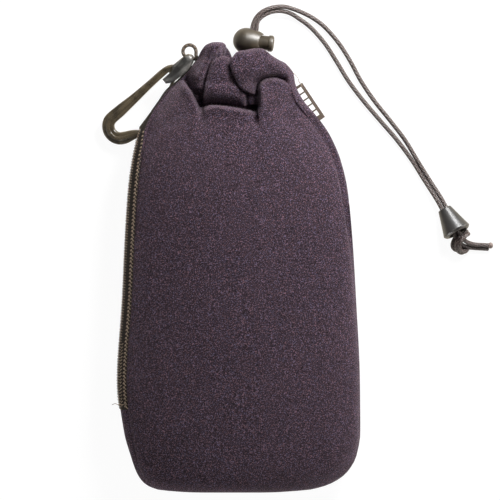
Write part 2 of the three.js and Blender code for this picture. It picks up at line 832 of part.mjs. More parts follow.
// The cord loop: both ends are caught in the left seam, and the ring passes through the hook's eye.
function loopPoints() {
  const points = [
    new THREE.Vector3(-18.9, 123.2, loopCentre.z),
    new THREE.Vector3(-20.8, 123.1, loopCentre.z),
  ];
  for (let degrees = 2; degrees <= 292; degrees += 29) {
    const angle = THREE.MathUtils.degToRad(degrees);
    const x = loopCentre.x + loopRadius * Math.cos(angle);
    const y = loopCentre.y + loopRadius * Math.sin(angle);
    points.push(new THREE.Vector3(x, y, loopCentre.z));
  }
  points.push(new THREE.Vector3(-21.8, 120.6, loopCentre.z));
  points.push(new THREE.Vector3(-19, 120.5, loopCentre.z));
  return points;
}

function loopTube(radius) {
  return sweep(loopPoints(), radius, cordSides, 26);
}

// The label: a ribbon folded double, with its cut ends caught in the right seam.
function labelGeometry(margin) {
  const alongX = 0.556;
  const alongY = -0.831;
  const top = new THREE.Vector2(27.2, 107.7);
  const length = 20.4;
  const width = 5.2;
  const corner = (along, across) =>
    new THREE.Vector2(top.x + alongX * along - alongY * across, top.y + alongY * along + alongX * across);
  const shape = new THREE.Shape([
    corner(-margin, -labelSeat - margin),
    corner(length + 1.6 + margin, -labelSeat - margin),
    corner(length + 1.6 + margin, width - 1),
    corner(length + 0.4 + margin, width + margin),
    corner(-margin, width + margin),
  ]);
  const geometry = plate(shape, labelThickness + 2 * margin);
  geometry.translate(0, 0, 16.1);
  return geometry;
}

// Assembly

const pouch = new THREE.Group();

const cutShell = pouchShell()
  .subtract(casingTunnel())
  .subtract(toSolid(loopTube(loopStrand / 2 + seatGap)))
  .subtract(toSolid(labelGeometry(seatGap)));
const frontPanel = cutShell.intersect(seamBlock(true));
const backPanel = cutShell.intersect(seamBlock(false));

pouch.add(namedMesh('front_panel', toGeometry(frontPanel), neoprene));
pouch.add(namedMesh('back_panel', toGeometry(backPanel), neoprene));
pouch.add(namedMesh('side_label', labelGeometry(0), webbing));
pouch.add(namedMesh('hook_loop', loopTube(loopStrand / 2), braid));
pouch.add(namedMesh('drawcord_casing_run', cordTube(casingRun()), braid));
pouch.add(namedMesh('cord_upper', cordTube(upperCord), braid));
pouch.add(namedMesh('cord_lower', cordTube(lowerCord), braid));
pouch.add(namedMesh('cord_knot', knotGeometry(), braid));

const lock = new THREE.Group();
lock.position.copy(lockCentre);
lock.rotation.z = lockTilt;
lock.add(namedMesh('lock_barrel', barrelGeometry(), hardPlastic));
lock.add(namedMesh('lock_plunger', plungerGeometry(), hardPlastic));
lock.add(namedMesh('lock_spring', springGeometry(), springWireSteel));
pouch.add(lock);

const bell = namedMesh('cord_bell', bellGeometry(), hardPlastic);
bell.quaternion.setFromRotationMatrix(bellFrame());
bell.position.copy(bellNeck);
pouch.add(bell);

const hook = new THREE.Group();
hook.quaternion.setFromRotationMatrix(hookFrame());
hook.position.copy(hookOrigin);
hook.add(namedMesh('hook_body', hookBodyGeometry(), hardPlastic));
hook.add(namedMesh('hook_cuff', cuffGeometry(), hardPlastic));
hook.add(namedMesh('hook_gate', gateGeometry(), hardPlastic));
pouch.add(hook);

export default pouch;
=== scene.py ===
import math

import bmesh
import bpy
import numpy as np
from mathutils import Matrix, Vector, noise
from mathutils.bvhtree import BVHTree


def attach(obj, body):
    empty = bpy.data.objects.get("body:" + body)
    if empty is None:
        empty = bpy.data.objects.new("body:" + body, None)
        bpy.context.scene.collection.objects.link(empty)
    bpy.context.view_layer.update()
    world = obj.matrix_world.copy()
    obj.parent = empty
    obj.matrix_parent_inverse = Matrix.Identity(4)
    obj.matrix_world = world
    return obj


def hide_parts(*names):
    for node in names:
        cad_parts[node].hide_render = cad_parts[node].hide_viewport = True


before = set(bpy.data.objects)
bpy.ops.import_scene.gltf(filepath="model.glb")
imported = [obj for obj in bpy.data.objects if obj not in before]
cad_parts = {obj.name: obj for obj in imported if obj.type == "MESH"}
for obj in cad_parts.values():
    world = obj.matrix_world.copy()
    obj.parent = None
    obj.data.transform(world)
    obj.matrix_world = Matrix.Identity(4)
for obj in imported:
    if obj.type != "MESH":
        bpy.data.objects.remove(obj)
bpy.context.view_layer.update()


# The camera.
# The pouch lies flat and a long lens looks straight down on it, with the mouth at the top of the picture.
mm = 0.001
picture_width = 250 * mm
picture_centre = (5 * mm, 25 * mm)
picture_level = 14.5 * mm
lens = 500
sensor = 36

bpy.ops.object.select_all(action="DESELECT")
camera_height = picture_level + picture_width * lens / sensor
bpy.ops.object.camera_add(location=(*picture_centre, camera_height), rotation=(0, 0, 0))
camera = bpy.context.object
camera.data.lens = lens
camera.data.sensor_width = sensor
camera.data.clip_end = 20
bpy.context.scene.camera = camera


# The drawcord.
# One round braided cord of 2.2 mm, closed round the mouth inside the hem, with both ends led out of the back
# of the rim. Each end runs through the lock and the bell, is knotted below it and ends in a heat-sealed tail.
cord_radius = 1.1
lock_centre = Vector((3, 129.85, 6.8))
lock_tilt = math.radians(-6.6)
bell_neck = Vector((102.45, 45.7, 4.85))
bell_heading = math.radians(28.5)
bell_rise = math.radians(10.5)


def lock_point(x, y, z):
    return Matrix.Rotation(lock_tilt, 3, "Z") @ Vector((x, y, z)) + lock_centre


bell_axis = Vector(
    (
        math.sin(bell_heading) * math.cos(bell_rise),
        -math.cos(bell_heading) * math.cos(bell_rise),
        math.sin(bell_rise),
    )
)
bell_across = Vector((math.cos(bell_heading), math.sin(bell_heading), 0))


def bell_point(along, across):
    return bell_neck + bell_axis * along + bell_across * across


samples_per_knot = 60


def run_along(points):
    """The length of the line of points up to each of them."""
    return np.concatenate([[0], np.cumsum(np.linalg.norm(np.diff(points, axis=0), axis=1))])


def hermite(t, width, start, end, start_slope, end_slope):
    """The smooth curve over a width from start to end, with its slope given at both. t runs from 0 to 1."""
    return (
        (1 + 2 * t) * (1 - t) ** 2 * start
        + t * (1 - t) ** 2 * width * start_slope
        + t * t * (3 - 2 * t) * end
        + t * t * (t - 1) * width * end_slope
    )


def smooth_path(points, spacing):
    """Evenly spaced points, in metres, on a smooth curve through points given in millimetres."""
    knots = np.array([tuple(point) for point in points], float)
    chord = np.sqrt(np.linalg.norm(np.diff(knots, axis=0), axis=1))
    at = np.concatenate([[0], np.cumsum(chord)])
    slope = np.gradient(knots, at, axis=0)
    slope[0] = (knots[1] - knots[0]) / chord[0]
    slope[-1] = (knots[-1] - knots[-2]) / chord[-1]
    where = np.linspace(0, at[-1], samples_per_knot * len(knots))
    part = np.clip(np.searchsorted(at, where) - 1, 0, len(chord) - 1)
    width = chord[part][:, None]
    t = ((where - at[part]) / chord[part])[:, None]
    fine = hermite(t, width, knots[part], knots[part + 1], slope[part], slope[part + 1])
    run = run_along(fine)
    even = np.linspace(0, run[-1], max(3, round(run[-1] / spacing)))
    return np.stack([np.interp(even, run, fine[:, axis]) for axis in range(3)], axis=1) * mm


dome_height, dome_radius = 0.4, 0.55


def add_tube(mesh, uv, path, radius, sides):
    """Adds a closed tube along path, with its run and its turn in the UV map. Its ends are domed."""
    points = [Vector(point) for point in path]
    tangents = [
        (points[min(i + 1, len(points) - 1)] - points[max(i - 1, 0)]).normalized() for i in range(len(points))
    ]
    side = tangents[0].orthogonal().normalized()
    dome = radius * dome_height
    stops = [(points[0] - tangents[0] * dome, dome_radius)]
    stops += [(point, 1) for point in points]
    stops.append((points[-1] + tangents[-1] * dome, dome_radius))
    tangents = [tangents[0], *tangents, tangents[-1]]
    rings = []
    runs = [0]
    for i, (centre, share) in enumerate(stops):
        side = (side - tangents[i] * side.dot(tangents[i])).normalized()
        other = tangents[i].cross(side)
        ring = []
        for k in range(sides):
            turn = 2 * math.pi * k / sides
            offset = side * math.cos(turn) + other * math.sin(turn)
            ring.append(mesh.verts.new(centre + offset * radius * share))
        rings.append(ring)
        if i:
            runs.append(runs[-1] + (centre - stops[i - 1][0]).length)
    for i in range(len(rings) - 1):
        for k in range(sides):
            after = (k + 1) % sides
            face = mesh.faces.new((rings[i][k], rings[i][after], rings[i + 1][after], rings[i + 1][k]))
            face.smooth = True
            for loop, (turn, run) in zip(face.loops, ((k, i), (k + 1, i), (k + 1, i + 1), (k, i + 1))):
                loop[uv].uv = (turn / sides, runs[run])
    mesh.faces.new(rings[0][::-1])
    mesh.faces.new(rings[-1])


def new_piece(name, data):
    piece = bpy.data.objects.new(name, data)
    bpy.context.scene.collection.objects.link(piece)
    return piece


def round_tube(name, paths, radius, sides=14):
    """One piece made of a closed tube along each path."""
    mesh = bmesh.new()
    uv = mesh.loops.layers.uv.new("Run")
    for path in paths:
        add_tube(mesh, uv, path, radius, sides)
    data = bpy.data.meshes.new(name)
    mesh.to_mesh(data)
    mesh.free()
    return new_piece(name, data)


class Wire:
    """A shader socket that takes part in sums, so that a pattern reads as arithmetic."""

    def __init__(self, finish, socket):
        self.finish = finish
        self.socket = socket

    def math(self, operation, *values):
        return self.finish.node("ShaderNodeMath", {"operation": operation}, dict(enumerate(values)))

    def __add__(self, other):
        return self.math("ADD", self, other)

    __radd__ = __add__

    def __mul__(self, other):
        return self.math("MULTIPLY", self, other)

    __rmul__ = __mul__

    def __sub__(self, other):
        return self.math("SUBTRACT", self, other)

    def __rsub__(self, other):
        return self.math("SUBTRACT", other, self)

    def wave(self):
        return self.math("SINE", self)

    def fraction(self):
        return self.math("FRACT", self)

    def above(self, other):
        return self.math("MAXIMUM", self, other)

    def over(self, low, high):
        """0 below low, 1 above high and a smooth step between."""
        inputs = {0: self, 1: low, 2: high}
        return self.finish.node("ShaderNodeMapRange", {"interpolation_type": "SMOOTHSTEP"}, inputs)


class Finish:
    """A material with its nodes. Colours are written as eye values from 0 to 255."""

    def __init__(self, name, **constants):
        self.material = bpy.data.materials.new(name)
        self.material.use_nodes = True
        self.tree = self.material.node_tree
        self.shader = self.tree.nodes["Principled BSDF"]
        for socket, value in constants.items():
            self.shader.inputs[socket.replace("_", " ")].default_value = value

    def node(self, kind, settings, inputs, output=0):
        made = self.tree.nodes.new(kind)
        for key, value in settings.items():
            setattr(made, key, value)
        for key, value in inputs.items():
            self.feed(made.inputs[key], value)
        return Wire(self, made.outputs[output])

    def feed(self, socket, value):
        if isinstance(value, Wire):
            self.tree.links.new(value.socket, socket)
        else:
            socket.default_value = value

    def place(self):
        return self.node("ShaderNodeTexCoord", {}, {}, "Object")

    def axis(self, vector, index):
        return self.node("ShaderNodeSeparateXYZ", {}, {0: vector}, index)

    def grain(self, scale, detail=2, where=None):
        inputs = {"Vector": where or self.place(), "Scale": scale, "Detail": detail}
        return self.node("ShaderNodeTexNoise", {}, inputs, "Fac")

    def mix(self, share, first, second):
        """Colours, blended by share."""
        inputs = {0: share, 6: first, 7: second}
        return self.node("ShaderNodeMix", {"data_type": "RGBA"}, inputs, 2)

    def relief(self, height, depth):
        inputs = {"Strength": 1, "Distance": depth, "Height": height}
        normal = self.node("ShaderNodeBump", {}, inputs, "Normal")
        self.feed(self.shader.inputs["Normal"], normal)

    def colour(self, value):
        self.feed(self.shader.inputs["Base Color"], value)

    def gloss(self, value):
        self.feed(self.shader.inputs["Roughness"], value)

    def on(self, *pieces):
        for piece in pieces:
            piece.data.materials.clear()
            piece.data.materials.append(self.material)


def eye(red, green, blue):
    """A colour from the values that a picture shows."""
    shares = [value / 255 for value in (red, green, blue)]
    return (*[s / 12.92 if s < 0.04045 else ((s + 0.055) / 1.055) ** 2.4 for s in shares], 1)


def braid_finish(name, base, fleck, strands, pitch):
    """A round braid: strands wind both ways and pass over and under, with paler yarn flecks, a painted
    highlight on the strands' crowns and painted shade between them.
    """
    finish = Finish(name, Specular_IOR_Level=0.6)
    uv = finish.node("ShaderNodeUVMap", {"uv_map": "Run"}, {})
    turns = finish.axis(uv, 0) * (2 * math.pi * strands)
    runs = finish.axis(uv, 1) * (2 * math.pi / pitch)
    right = (turns + runs).wave()
    left = (turns - runs).wave()
    crown = right.above(left)
    yarn = finish.grain(5200, 1)
    patch = finish.grain(420, 2)
    # Painted highlight and shade: the pale colour goes on the strands' crowns as well as on the yarn flecks
    # and patches, so the hollows between strands stay darker.
    light = crown.over(0.2, 1) * 0.5 + yarn.over(0.35, 0.7) * 0.35 + patch * 0.25
    finish.colour(finish.mix(light.over(0.1, 1.05), base, fleck))
    finish.gloss(0.42 - yarn * 0.1)
    finish.relief(crown + yarn * 0.3, 0.00012)
    return finish


exit_left = Vector((4.1, 120.2, 6.6))
exit_right = Vector((7.1, 120.2, 6))
hole_x = 3.5
lock_top = 6.6
lane_side, lane_height = 1.03, 0.72
bell_lane = 1.12
in_bell = (-5.6, 0, 9)
upper_points = [
    exit_left,
    exit_left + Vector((0, 0.9, 0.15)),
    *[lock_point(hole_x - lane_side, y, lane_height) for y in (-lock_top, 0, lock_top)],
    lock_point(hole_x - 0.86, lock_top + 2, 0.74),
    (8.1, 141.4, 7.4),
    (10.9, 144.2, 7.1),
    (14.6, 146, 6.5),
    (18.6, 146.9, 5.7),
    (22.6, 146.9, 4.9),
    (26.5, 145.9, 3.9),
    (31.5, 144, 2.7),
    (37.2, 141, 1.7),
    (42.4, 137, 1.25),
    (49.4, 129, 1.2),
    (55.2, 120, 1.2),
    (60.6, 110, 1.2),
    (67.3, 100, 1.2),
    (75.3, 90, 1.2),
    (82.9, 80, 1.2),
    (88.95, 70, 1.2),
    (94.5, 61, 1.6),
    *[bell_point(along, bell_lane) for along in in_bell],
    (110.3, 32.6, 6.6),
    (112.6, 29.8, 5.2),
    (115.6, 28.3, 3.7),
    (118.6, 27.7, 2.75),
    (122, 27.5, 2.6),
    (125.3, 27.3, 2.55),
]
lower_points = [
    exit_right,
    exit_right + Vector((0, 0.9, 0)),
    *[lock_point(hole_x + lane_side, y, -lane_height) for y in (-lock_top, 0, lock_top)],
    lock_point(hole_x + 1.05, lock_top + 3.2, -0.74),
    (9.75, 140.9, 5.75),
    (12.3, 142.9, 5.4),
    (15.8, 144.4, 4.9),
    (19.6, 144.9, 4.2),
    (22.8, 144.5, 3.5),
    (25.9, 143.4, 2.7),
    (29.7, 141, 1.8),
    (35.1, 137, 1.25),
    (42.3, 129, 1.2),
    (48.2, 120, 1.2),
    (54.3, 110, 1.2),
    (61.8, 100, 1.2),
    (70.3, 90, 1.2),
    (78.9, 80, 1.2),
    (86.3, 70, 1.2),
    (92.35, 60.3, 1.6),
    *[bell_point(along, -bell_lane) for along in in_bell],
    (108.6, 31.2, 5.9),
    (110.9, 28, 4.2),
    (114.6, 26.4, 2.1),
    (118, 26, 1.2),
    (121.4, 25.8, 1.15),
    (124.5, 25.6, 1.15),
]
cord_spacing = 0.6
upper_path = smooth_path(upper_points, cord_spacing)
lower_path = smooth_path(lower_points, cord_spacing)
cord_upper = round_tube("drawcord_end_upper", [upper_path], cord_radius * mm)
cord_lower = round_tube("drawcord_end_lower", [lower_path], cord_radius * mm)

run_middle = Vector((0.05, 113, 13.6))
run_half_width, run_front_depth, run_back_depth = 21.6, 9.1, 6.7
run_squareness = 0.9
run_start, run_step = -55, 14.5


def squared(value):
    return math.copysign(abs(value) ** run_squareness, value)


run_points = [(7.1, 119.9, 6), (7.3, 117, 5.8), (9.8, 113.9, 5.6)]
for step in range(21):
    turn = math.radians(run_start + run_step * step)
    depth = run_front_depth if math.sin(turn) > 0 else run_back_depth
    offset = Vector((run_half_width * squared(math.cos(turn)), 0, depth * squared(math.sin(turn))))
    run_points.append(run_middle + offset)
run_points += [(1.4, 113.9, 5.6), (3.9, 117, 6.1), (4.1, 119.9, 6.6)]
cord_run = round_tube("drawcord_run_in_hem", [smooth_path(run_points, 2 * cord_spacing)], cord_radius * mm)

cord_braid = braid_finish("drawcord braid", eye(18, 13, 10), eye(106, 91, 87), 6, 2.6 * mm)
cord_braid.on(cord_upper, cord_lower, cord_run)
for cord, node in ((cord_upper, "cord_upper"), (cord_lower, "cord_lower"), (cord_run, "drawcord_casing_run")):
    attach(cord, "pouch")
    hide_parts(node)


# The sealed tip of the upper tail.
# The braid's end was melted with a flame so that it can't fray, and has set as a small uneven bead.
def select_only(piece):
    bpy.ops.object.select_all(action="DESELECT")
    piece.select_set(True)
    bpy.context.view_layer.objects.active = piece


def settle(piece):
    """Puts the piece's place into its mesh, so that its object sits at the origin."""
    select_only(piece)
    bpy.ops.object.transform_apply(location=True, rotation=True, scale=True)


def edit_all():
    bpy.ops.object.mode_set(mode="EDIT")
    bpy.ops.mesh.select_all(action="SELECT")


bead_radius = 1.55
bead_length_share = 0.85
bead_place = (125.7 * mm, 27.25 * mm, 2.5 * mm)
bead_unevenness = 0.08

bpy.ops.object.select_all(action="DESELECT")
bpy.ops.mesh.primitive_uv_sphere_add(segments=24, ring_count=16, radius=bead_radius * mm, location=(0, 0, 0))
tail_bead = bpy.context.object
tail_bead.name = "tail_bead"
edit_all()
bpy.ops.transform.resize(value=(bead_length_share, 1, 1))
bpy.ops.object.mode_set(mode="OBJECT")
for vertex in tail_bead.data.vertices:
    vertex.co *= 1 + bead_unevenness * noise.noise(vertex.co * 900)
tail_bead.location = bead_place
settle(tail_bead)
bpy.ops.object.shade_smooth()
bead_finish = Finish("melted cord", Specular_IOR_Level=0.5)
bead_finish.colour(bead_finish.mix(bead_finish.grain(900), eye(60, 48, 44), eye(150, 132, 124)))
bead_finish.gloss(bead_finish.grain(1400) * 0.3 + 0.35)
bead_finish.relief(bead_finish.grain(1500), 0.0002)
bead_finish.on(tail_bead)
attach(tail_bead, "pouch")


# The knot below the bell.
# An overhand knot tied in both cords at once: the pair goes round itself in one tilted turn and through it.
outer_wrap = [(114.1, 32.8, 3), (114.4, 33.1, 4.9), (113.4, 32.5, 6.4), (112, 31.1, 7.5), (110.4, 29, 7.8)]
outer_wrap += [(109.9, 26.6, 6.6), (111, 24.6, 4.5), (113, 24.3, 2.7), (114.6, 26.4, 1.3), (115.4, 29, 1.2)]
inner_wrap = [(113.6, 34.3, 3.4), (113.2, 34, 5), (111.5, 32.6, 6.4), (109.3, 30.3, 7), (108.3, 27.4, 6.1)]
inner_wrap += [(109, 25, 4.4), (111, 23.7, 2.6), (113.2, 24.8, 1.3), (114.6, 27.4, 1.2)]
side_bulge = [(110.4, 32.6, 4), (108.2, 31.2, 4.8), (106.9, 29, 4.6), (106.7, 26.8, 3.8), (108, 25.2, 2.9)]
side_bulge += [(110.6, 25, 2.2)]
under_bulge = [(109.6, 31.4, 2.6), (108, 29.4, 2.4), (108, 27.2, 2), (109.8, 25.9, 1.5), (112.4, 26.2, 1.2)]
wraps = [smooth_path(wrap, 0.5) for wrap in (outer_wrap, inner_wrap, side_bulge, under_bulge)]
knot = round_tube("overhand_knot", wraps, cord_radius * mm)
cord_braid.on(knot)
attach(knot, "pouch")
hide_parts("cord_knot")


# The cord lock.
# An egg-shaped barrel of moulded plastic with a hole across it for both cords. A sprung plunger slides in its
# end and pinches them, and its domed button stands out of a thumb scoop in the barrel's rim.
def turned(name, profile, sides):
    """A ring drawn out along a profile of (radius, height) in millimetres, about the Z axis."""
    bpy.ops.object.select_all(action="DESELECT")
    start_radius, start_height = profile[0]
    bpy.ops.mesh.primitive_circle_add(vertices=sides, radius=start_radius * mm, location=(0, 0, 0))
    piece = bpy.context.object
    piece.name = name
    edit_all()
    bpy.ops.transform.translate(value=(0, 0, start_height * mm))
    for (radius, height), (next_radius, next_height) in zip(profile, profile[1:]):
        rise = (0, 0, (next_height - height) * mm)
        bpy.ops.mesh.extrude_region_move(TRANSFORM_OT_translate={"value": rise})
        share = next_radius / radius
        bpy.ops.transform.resize(value=(share, share, 1), center_override=(0, 0, next_height * mm))
    bpy.ops.mesh.select_all(action="SELECT")
    bpy.ops.mesh.remove_doubles(threshold=1e-6)
    bpy.ops.mesh.select_mode(type="EDGE")
    bpy.ops.mesh.select_all(action="DESELECT")
    bpy.ops.mesh.select_non_manifold()
    bpy.ops.mesh.fill_holes(sides=0)
    bpy.ops.mesh.select_mode(type="VERT")
    bpy.ops.mesh.select_all(action="SELECT")
    bpy.ops.mesh.normals_make_consistent(inside=False)
    bpy.ops.object.mode_set(mode="OBJECT")
    return piece


def round_cutter(place, radius, depth, sides=48, reach=0):
    """A cylinder to cut with, put in place by a matrix. With a reach its halves stand apart for a slot."""
    bpy.ops.object.select_all(action="DESELECT")
    bpy.ops.mesh.primitive_cylinder_add(vertices=sides, radius=radius * mm, depth=depth * mm)
    cutter = bpy.context.object
    for vertex in cutter.data.vertices:
        if abs(vertex.co.x) > 1e-6:
            vertex.co.x += math.copysign(reach * mm, vertex.co.x)
    cutter.matrix_world = place
    return cutter


def cut(piece, cutter):
    """Takes the cutter's volume out of the piece, and the cutter away."""
    select_only(piece)
    modifier = piece.modifiers.new("cut", "BOOLEAN")
    modifier.operation = "DIFFERENCE"
    modifier.solver = "EXACT"
    modifier.object = cutter
    bpy.ops.object.modifier_apply(modifier=modifier.name)
    bpy.data.objects.remove(cutter)


def soften(piece, width, segments=2, angle=35):
    """Rounds every edge sharper than angle, as a mould does."""
    select_only(piece)
    modifier = piece.modifiers.new("round", "BEVEL")
    modifier.width = width * mm
    modifier.segments = segments
    modifier.limit_method = "ANGLE"
    modifier.angle_limit = math.radians(angle)
    modifier.harden_normals = False
    bpy.ops.object.modifier_apply(modifier=modifier.name)


def smooth_by_angle(piece, degrees):
    select_only(piece)
    bpy.ops.object.shade_smooth_by_angle(angle=math.radians(degrees))


def moulded_finish(name, dark, pale, gloss, edge_highlight_share=0.25):
    """Moulded plastic: faint mottling, a fine spark-eroded skin and a painted highlight along the convex
    edges, broken into patches.
    """
    finish = Finish(name, Specular_IOR_Level=0.7, Coat_Weight=0.3, Coat_Roughness=0.34)
    mottle = finish.grain(140, 3)
    skin = finish.grain(2600, 2)
    edge = finish.node("ShaderNodeNewGeometry", {}, {}, "Pointiness")
    # Painted highlight: convex edges are paled in patches towards a highlight colour.
    painted_edge_highlight = edge.over(0.51, 0.56) * finish.grain(700, 3).over(0.4, 0.7)
    base = finish.mix(mottle.over(0.3, 0.7), dark, pale)
    finish.colour(finish.mix(painted_edge_highlight * edge_highlight_share, base, eye(150, 143, 135)))
    finish.gloss(mottle * 0.16 + skin * 0.08 + (gloss - 0.12))
    finish.relief(skin * 0.6 + mottle, 0.00005)
    return finish


lock_frame = Matrix.Translation(lock_centre * mm) @ Matrix.Rotation(lock_tilt, 4, "Z")
lay_along_x = Matrix.Rotation(math.radians(90), 4, "Y")
lay_along_y = Matrix.Rotation(math.radians(90), 4, "X")
through_barrel, through_plunger = 30, 20
cord_hole_radius = 2.66
scoop_radius = 5
scoop_x = 11.3
egg_radius = 6.5
egg_length = 11.4
egg_rim = 8.57
bore_radius = 3.8
bore_step = -3
spring_bore_radius = 2.6
spring_bore_end = -5.3

egg_turns = [math.radians(degrees) for degrees in range(4, 90, 6)]
egg = [(egg_radius * math.sin(turn), -egg_radius * math.cos(turn)) for turn in egg_turns]
egg += [(egg_radius * math.sqrt(1 - (x / egg_length) ** 2), x) for x in np.linspace(0, egg_rim, 12)]
egg += [(bore_radius, egg_rim), (bore_radius, bore_step), (spring_bore_radius, bore_step)]
egg += [(spring_bore_radius, spring_bore_end)]
barrel = turned("cord_lock_barrel", egg, 72)
barrel.matrix_world = lock_frame @ lay_along_x
settle(barrel)

hole_place = lock_frame @ Matrix.Translation((hole_x * mm, 0, 0)) @ lay_along_y
cut(barrel, round_cutter(hole_place, cord_hole_radius, through_barrel))
scoop_place = lock_frame @ Matrix.Translation((scoop_x * mm, 0, 0))
cut(barrel, round_cutter(scoop_place, scoop_radius, through_barrel, 96))
soften(barrel, 0.22, 3, 30)
smooth_by_angle(barrel, 40)

plunger_start = -0.43
plunger_radius = 3.65
button_start = 11.27
button_end = 14.17
slot_start, slot_end, slot_half = 1.07, 8.33, 2.12

plunger_profile = [
    (0.4, plunger_start),
    (plunger_radius - 0.25, plunger_start),
    (plunger_radius, plunger_start + 0.25),
    (plunger_radius, button_start - 0.2),
    (3.75, button_start),
    (4.02, button_start + 0.12),
    (4.1, button_start + 0.35),
    (4.12, button_end - 1.3),
    (4.02, button_end - 0.85),
    (3.7, button_end - 0.45),
    (3.0, button_end - 0.18),
    (1.8, button_end - 0.04),
    (0.4, button_end),
]
plunger = turned("cord_lock_plunger", plunger_profile, 72)
plunger.matrix_world = lock_frame @ lay_along_x
settle(plunger)
slot_place = lock_frame @ Matrix.Translation(((slot_start + slot_end) / 2 * mm, 0, 0)) @ lay_along_y
slot_reach = (slot_end - slot_start) / 2 - slot_half
cut(plunger, round_cutter(slot_place, slot_half, through_plunger, reach=slot_reach))
soften(plunger, 0.15, 2, 40)
smooth_by_angle(plunger, 40)

lock_finish = moulded_finish("lock plastic", eye(34, 28, 20), eye(66, 57, 43), 0.45)
lock_finish.on(barrel, plunger)
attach(barrel, "lock")
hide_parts("lock_barrel")
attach(plunger, "plunger")
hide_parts("lock_plunger")

steel_finish = Finish("spring steel", Metallic=1.0)
steel_finish.colour(steel_finish.mix(steel_finish.grain(800), eye(150, 150, 152), eye(196, 196, 198)))
steel_finish.gloss(steel_finish.grain(2000) * 0.2 + 0.2)
steel_finish.on(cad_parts["lock_spring"])


# The bell.
# A polished, bell-shaped cord end of hard plastic. Both cords go in through a slot in its neck, and the knot
# under its rolled rim keeps it on.
neck_radius = 3.5
mouth_radius = 7.2
bell_length = 12.8
bell_end = 14
neck_floor = 2.4
neck_slot_half, neck_slot_reach = 1.4, 1.35

bell_profile = [
    (1.2, 0),
    (2.9, 0),
    (3.32, 0.08),
    (3.52, 0.32),
    (neck_radius + 0.16, 0.9),
    (4.55, 4),
    (5.7, 8),
    (6.72, 11.4),
    (mouth_radius - 0.1, bell_length - 0.3),
    (mouth_radius, bell_length),
    (mouth_radius - 0.06, bell_length + 0.2),
    (6.5, bell_end - 0.25),
    (6.3, bell_end - 0.1),
    (6, bell_end),
    (4.9, bell_end),
    (4.6, bell_end - 0.2),
    (4.2, 8.6),
    (3.4, 4.2),
    (2.9, neck_floor + 0.2),
    (2.4, neck_floor),
    (1.2, neck_floor),
]
bell = turned("cord_bell_end", bell_profile, 96)
bell_up = bell_across.cross(bell_axis)
bell_frame = Matrix((bell_across, -bell_up, bell_axis)).transposed().to_4x4()
bell_frame.translation = bell_neck * mm
bell.matrix_world = bell_frame
settle(bell)
cut(bell, round_cutter(bell_frame, neck_slot_half, 8, reach=neck_slot_reach))
soften(bell, 0.12, 2, 50)
smooth_by_angle(bell, 40)
bell_finish = moulded_finish("bell plastic", eye(24, 23, 23), eye(42, 40, 38), 0.38, 0.5)
bell_finish.on(bell)
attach(bell, "bell")
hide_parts("cord_bell")


# The pouch.
# Two panels of 2.5 mm neoprene with a knitted face, sewn along both sides and the end. Each panel's top is
# folded in and sewn down as a hem, and the drawcord in it has gathered the mouth into two lobes and a facet.

# Each station: y, the left and right side, and the lowest, middle and highest level of the section
stations = np.array(
    [
        (-96.2, -19, 11, 17.2, 17.5, 17.9),
        (-96.1, -25, 17, 13.6, 16.6, 19.4),
        (-95.8, -31, 23, 10.4, 15.2, 20.9),
        (-94.8, -41, 35, 6, 14.5, 24.6),
        (-91.5, -48, 46, 2.9, 14.5, 27.6),
        (-86, -51.8, 53.6, 0.5, 14.5, 29.5),
        (-78, -54.6, 58.2, -0.6, 14.5, 30.7),
        (-66, -58, 60.2, -0.8, 14.5, 31.2),
        (-40, -61, 60, -0.8, 14.5, 31.4),
        (0, -58.6, 58.1, -0.8, 14.5, 31.2),
        (30, -57.3, 56.3, -0.8, 14.5, 31),
        (55, -55.6, 53.8, -0.8, 14.6, 30.6),
        (70, -53.5, 50.3, -0.7, 14.6, 30.2),
        (82, -50.6, 45.2, -0.3, 14.5, 29.6),
        (92, -45.6, 38.4, 0.2, 14.3, 28.9),
        (100, -40.2, 31.8, 0.8, 14, 28.6),
        (105.5, -35.9, 28.8, 1.3, 13.8, 28.6),
        (108.5, -32.2, 27.6, 2.2, 13.7, 27.5),
        (113, -27.6, 26.9, 1.5, 13.6, 28.1),
        (118, -23.6, 23.4, 1.5, 13.6, 27.9),
        (122, -21.2, 20.4, 1.8, 13.6, 27.6),
        (129, -20.8, 18.4, 2.4, 13.6, 27),
    ]
)
front_roundness = 2.2
back_roundness = 2.3
sheet_thickness = 2.5
hem_thickness = 8.2
last_row = 114.0
hem_foot = 97.5
rim_y = 121.0


def eased(table, at, column=1):
    """A smooth curve through a column of the table, which never overshoots its points."""
    table = np.asarray(table, float)
    xs, ys = table[:, 0], table[:, column]
    rise = np.diff(ys) / np.diff(xs)
    slope = np.zeros_like(ys)
    same = rise[:-1] * rise[1:] > 0
    slope[1:-1][same] = 2 * rise[:-1][same] * rise[1:][same] / (rise[:-1] + rise[1:])[same]
    slope[0], slope[-1] = rise[0], rise[-1]
    part = np.clip(np.searchsorted(xs, at) - 1, 0, len(xs) - 2)
    width = xs[part + 1] - xs[part]
    t = np.clip((at - xs[part]) / width, 0, 1)
    return hermite(t, width, ys[part], ys[part + 1], slope[part], slope[part + 1])


def ramp(value, low, high):
    t = np.clip((value - low) / (high - low), 0, 1)
    return t * t * (3 - 2 * t)


def section(angle, y, inset):
    """The pouch's section at y before its folds, drawn in by inset: x and z at an angle from the right."""
    left = eased(stations, y, 1) + inset
    right = eased(stations, y, 2) - inset
    low = eased(stations, y, 3) + inset
    middle = eased(stations, y, 4)
    high = eased(stations, y, 5) - inset
    cosine, sine = np.cos(angle), np.sin(angle)
    power = np.where(sine >= 0, 2 / front_roundness, 2 / back_roundness)
    x = (left + right) / 2 + (right - left) / 2 * np.sign(cosine) * np.abs(cosine) ** power
    z = middle + np.where(sine >= 0, high - middle, middle - low) * np.sign(sine) * np.abs(sine) ** power
    return x, np.maximum(z, inset)


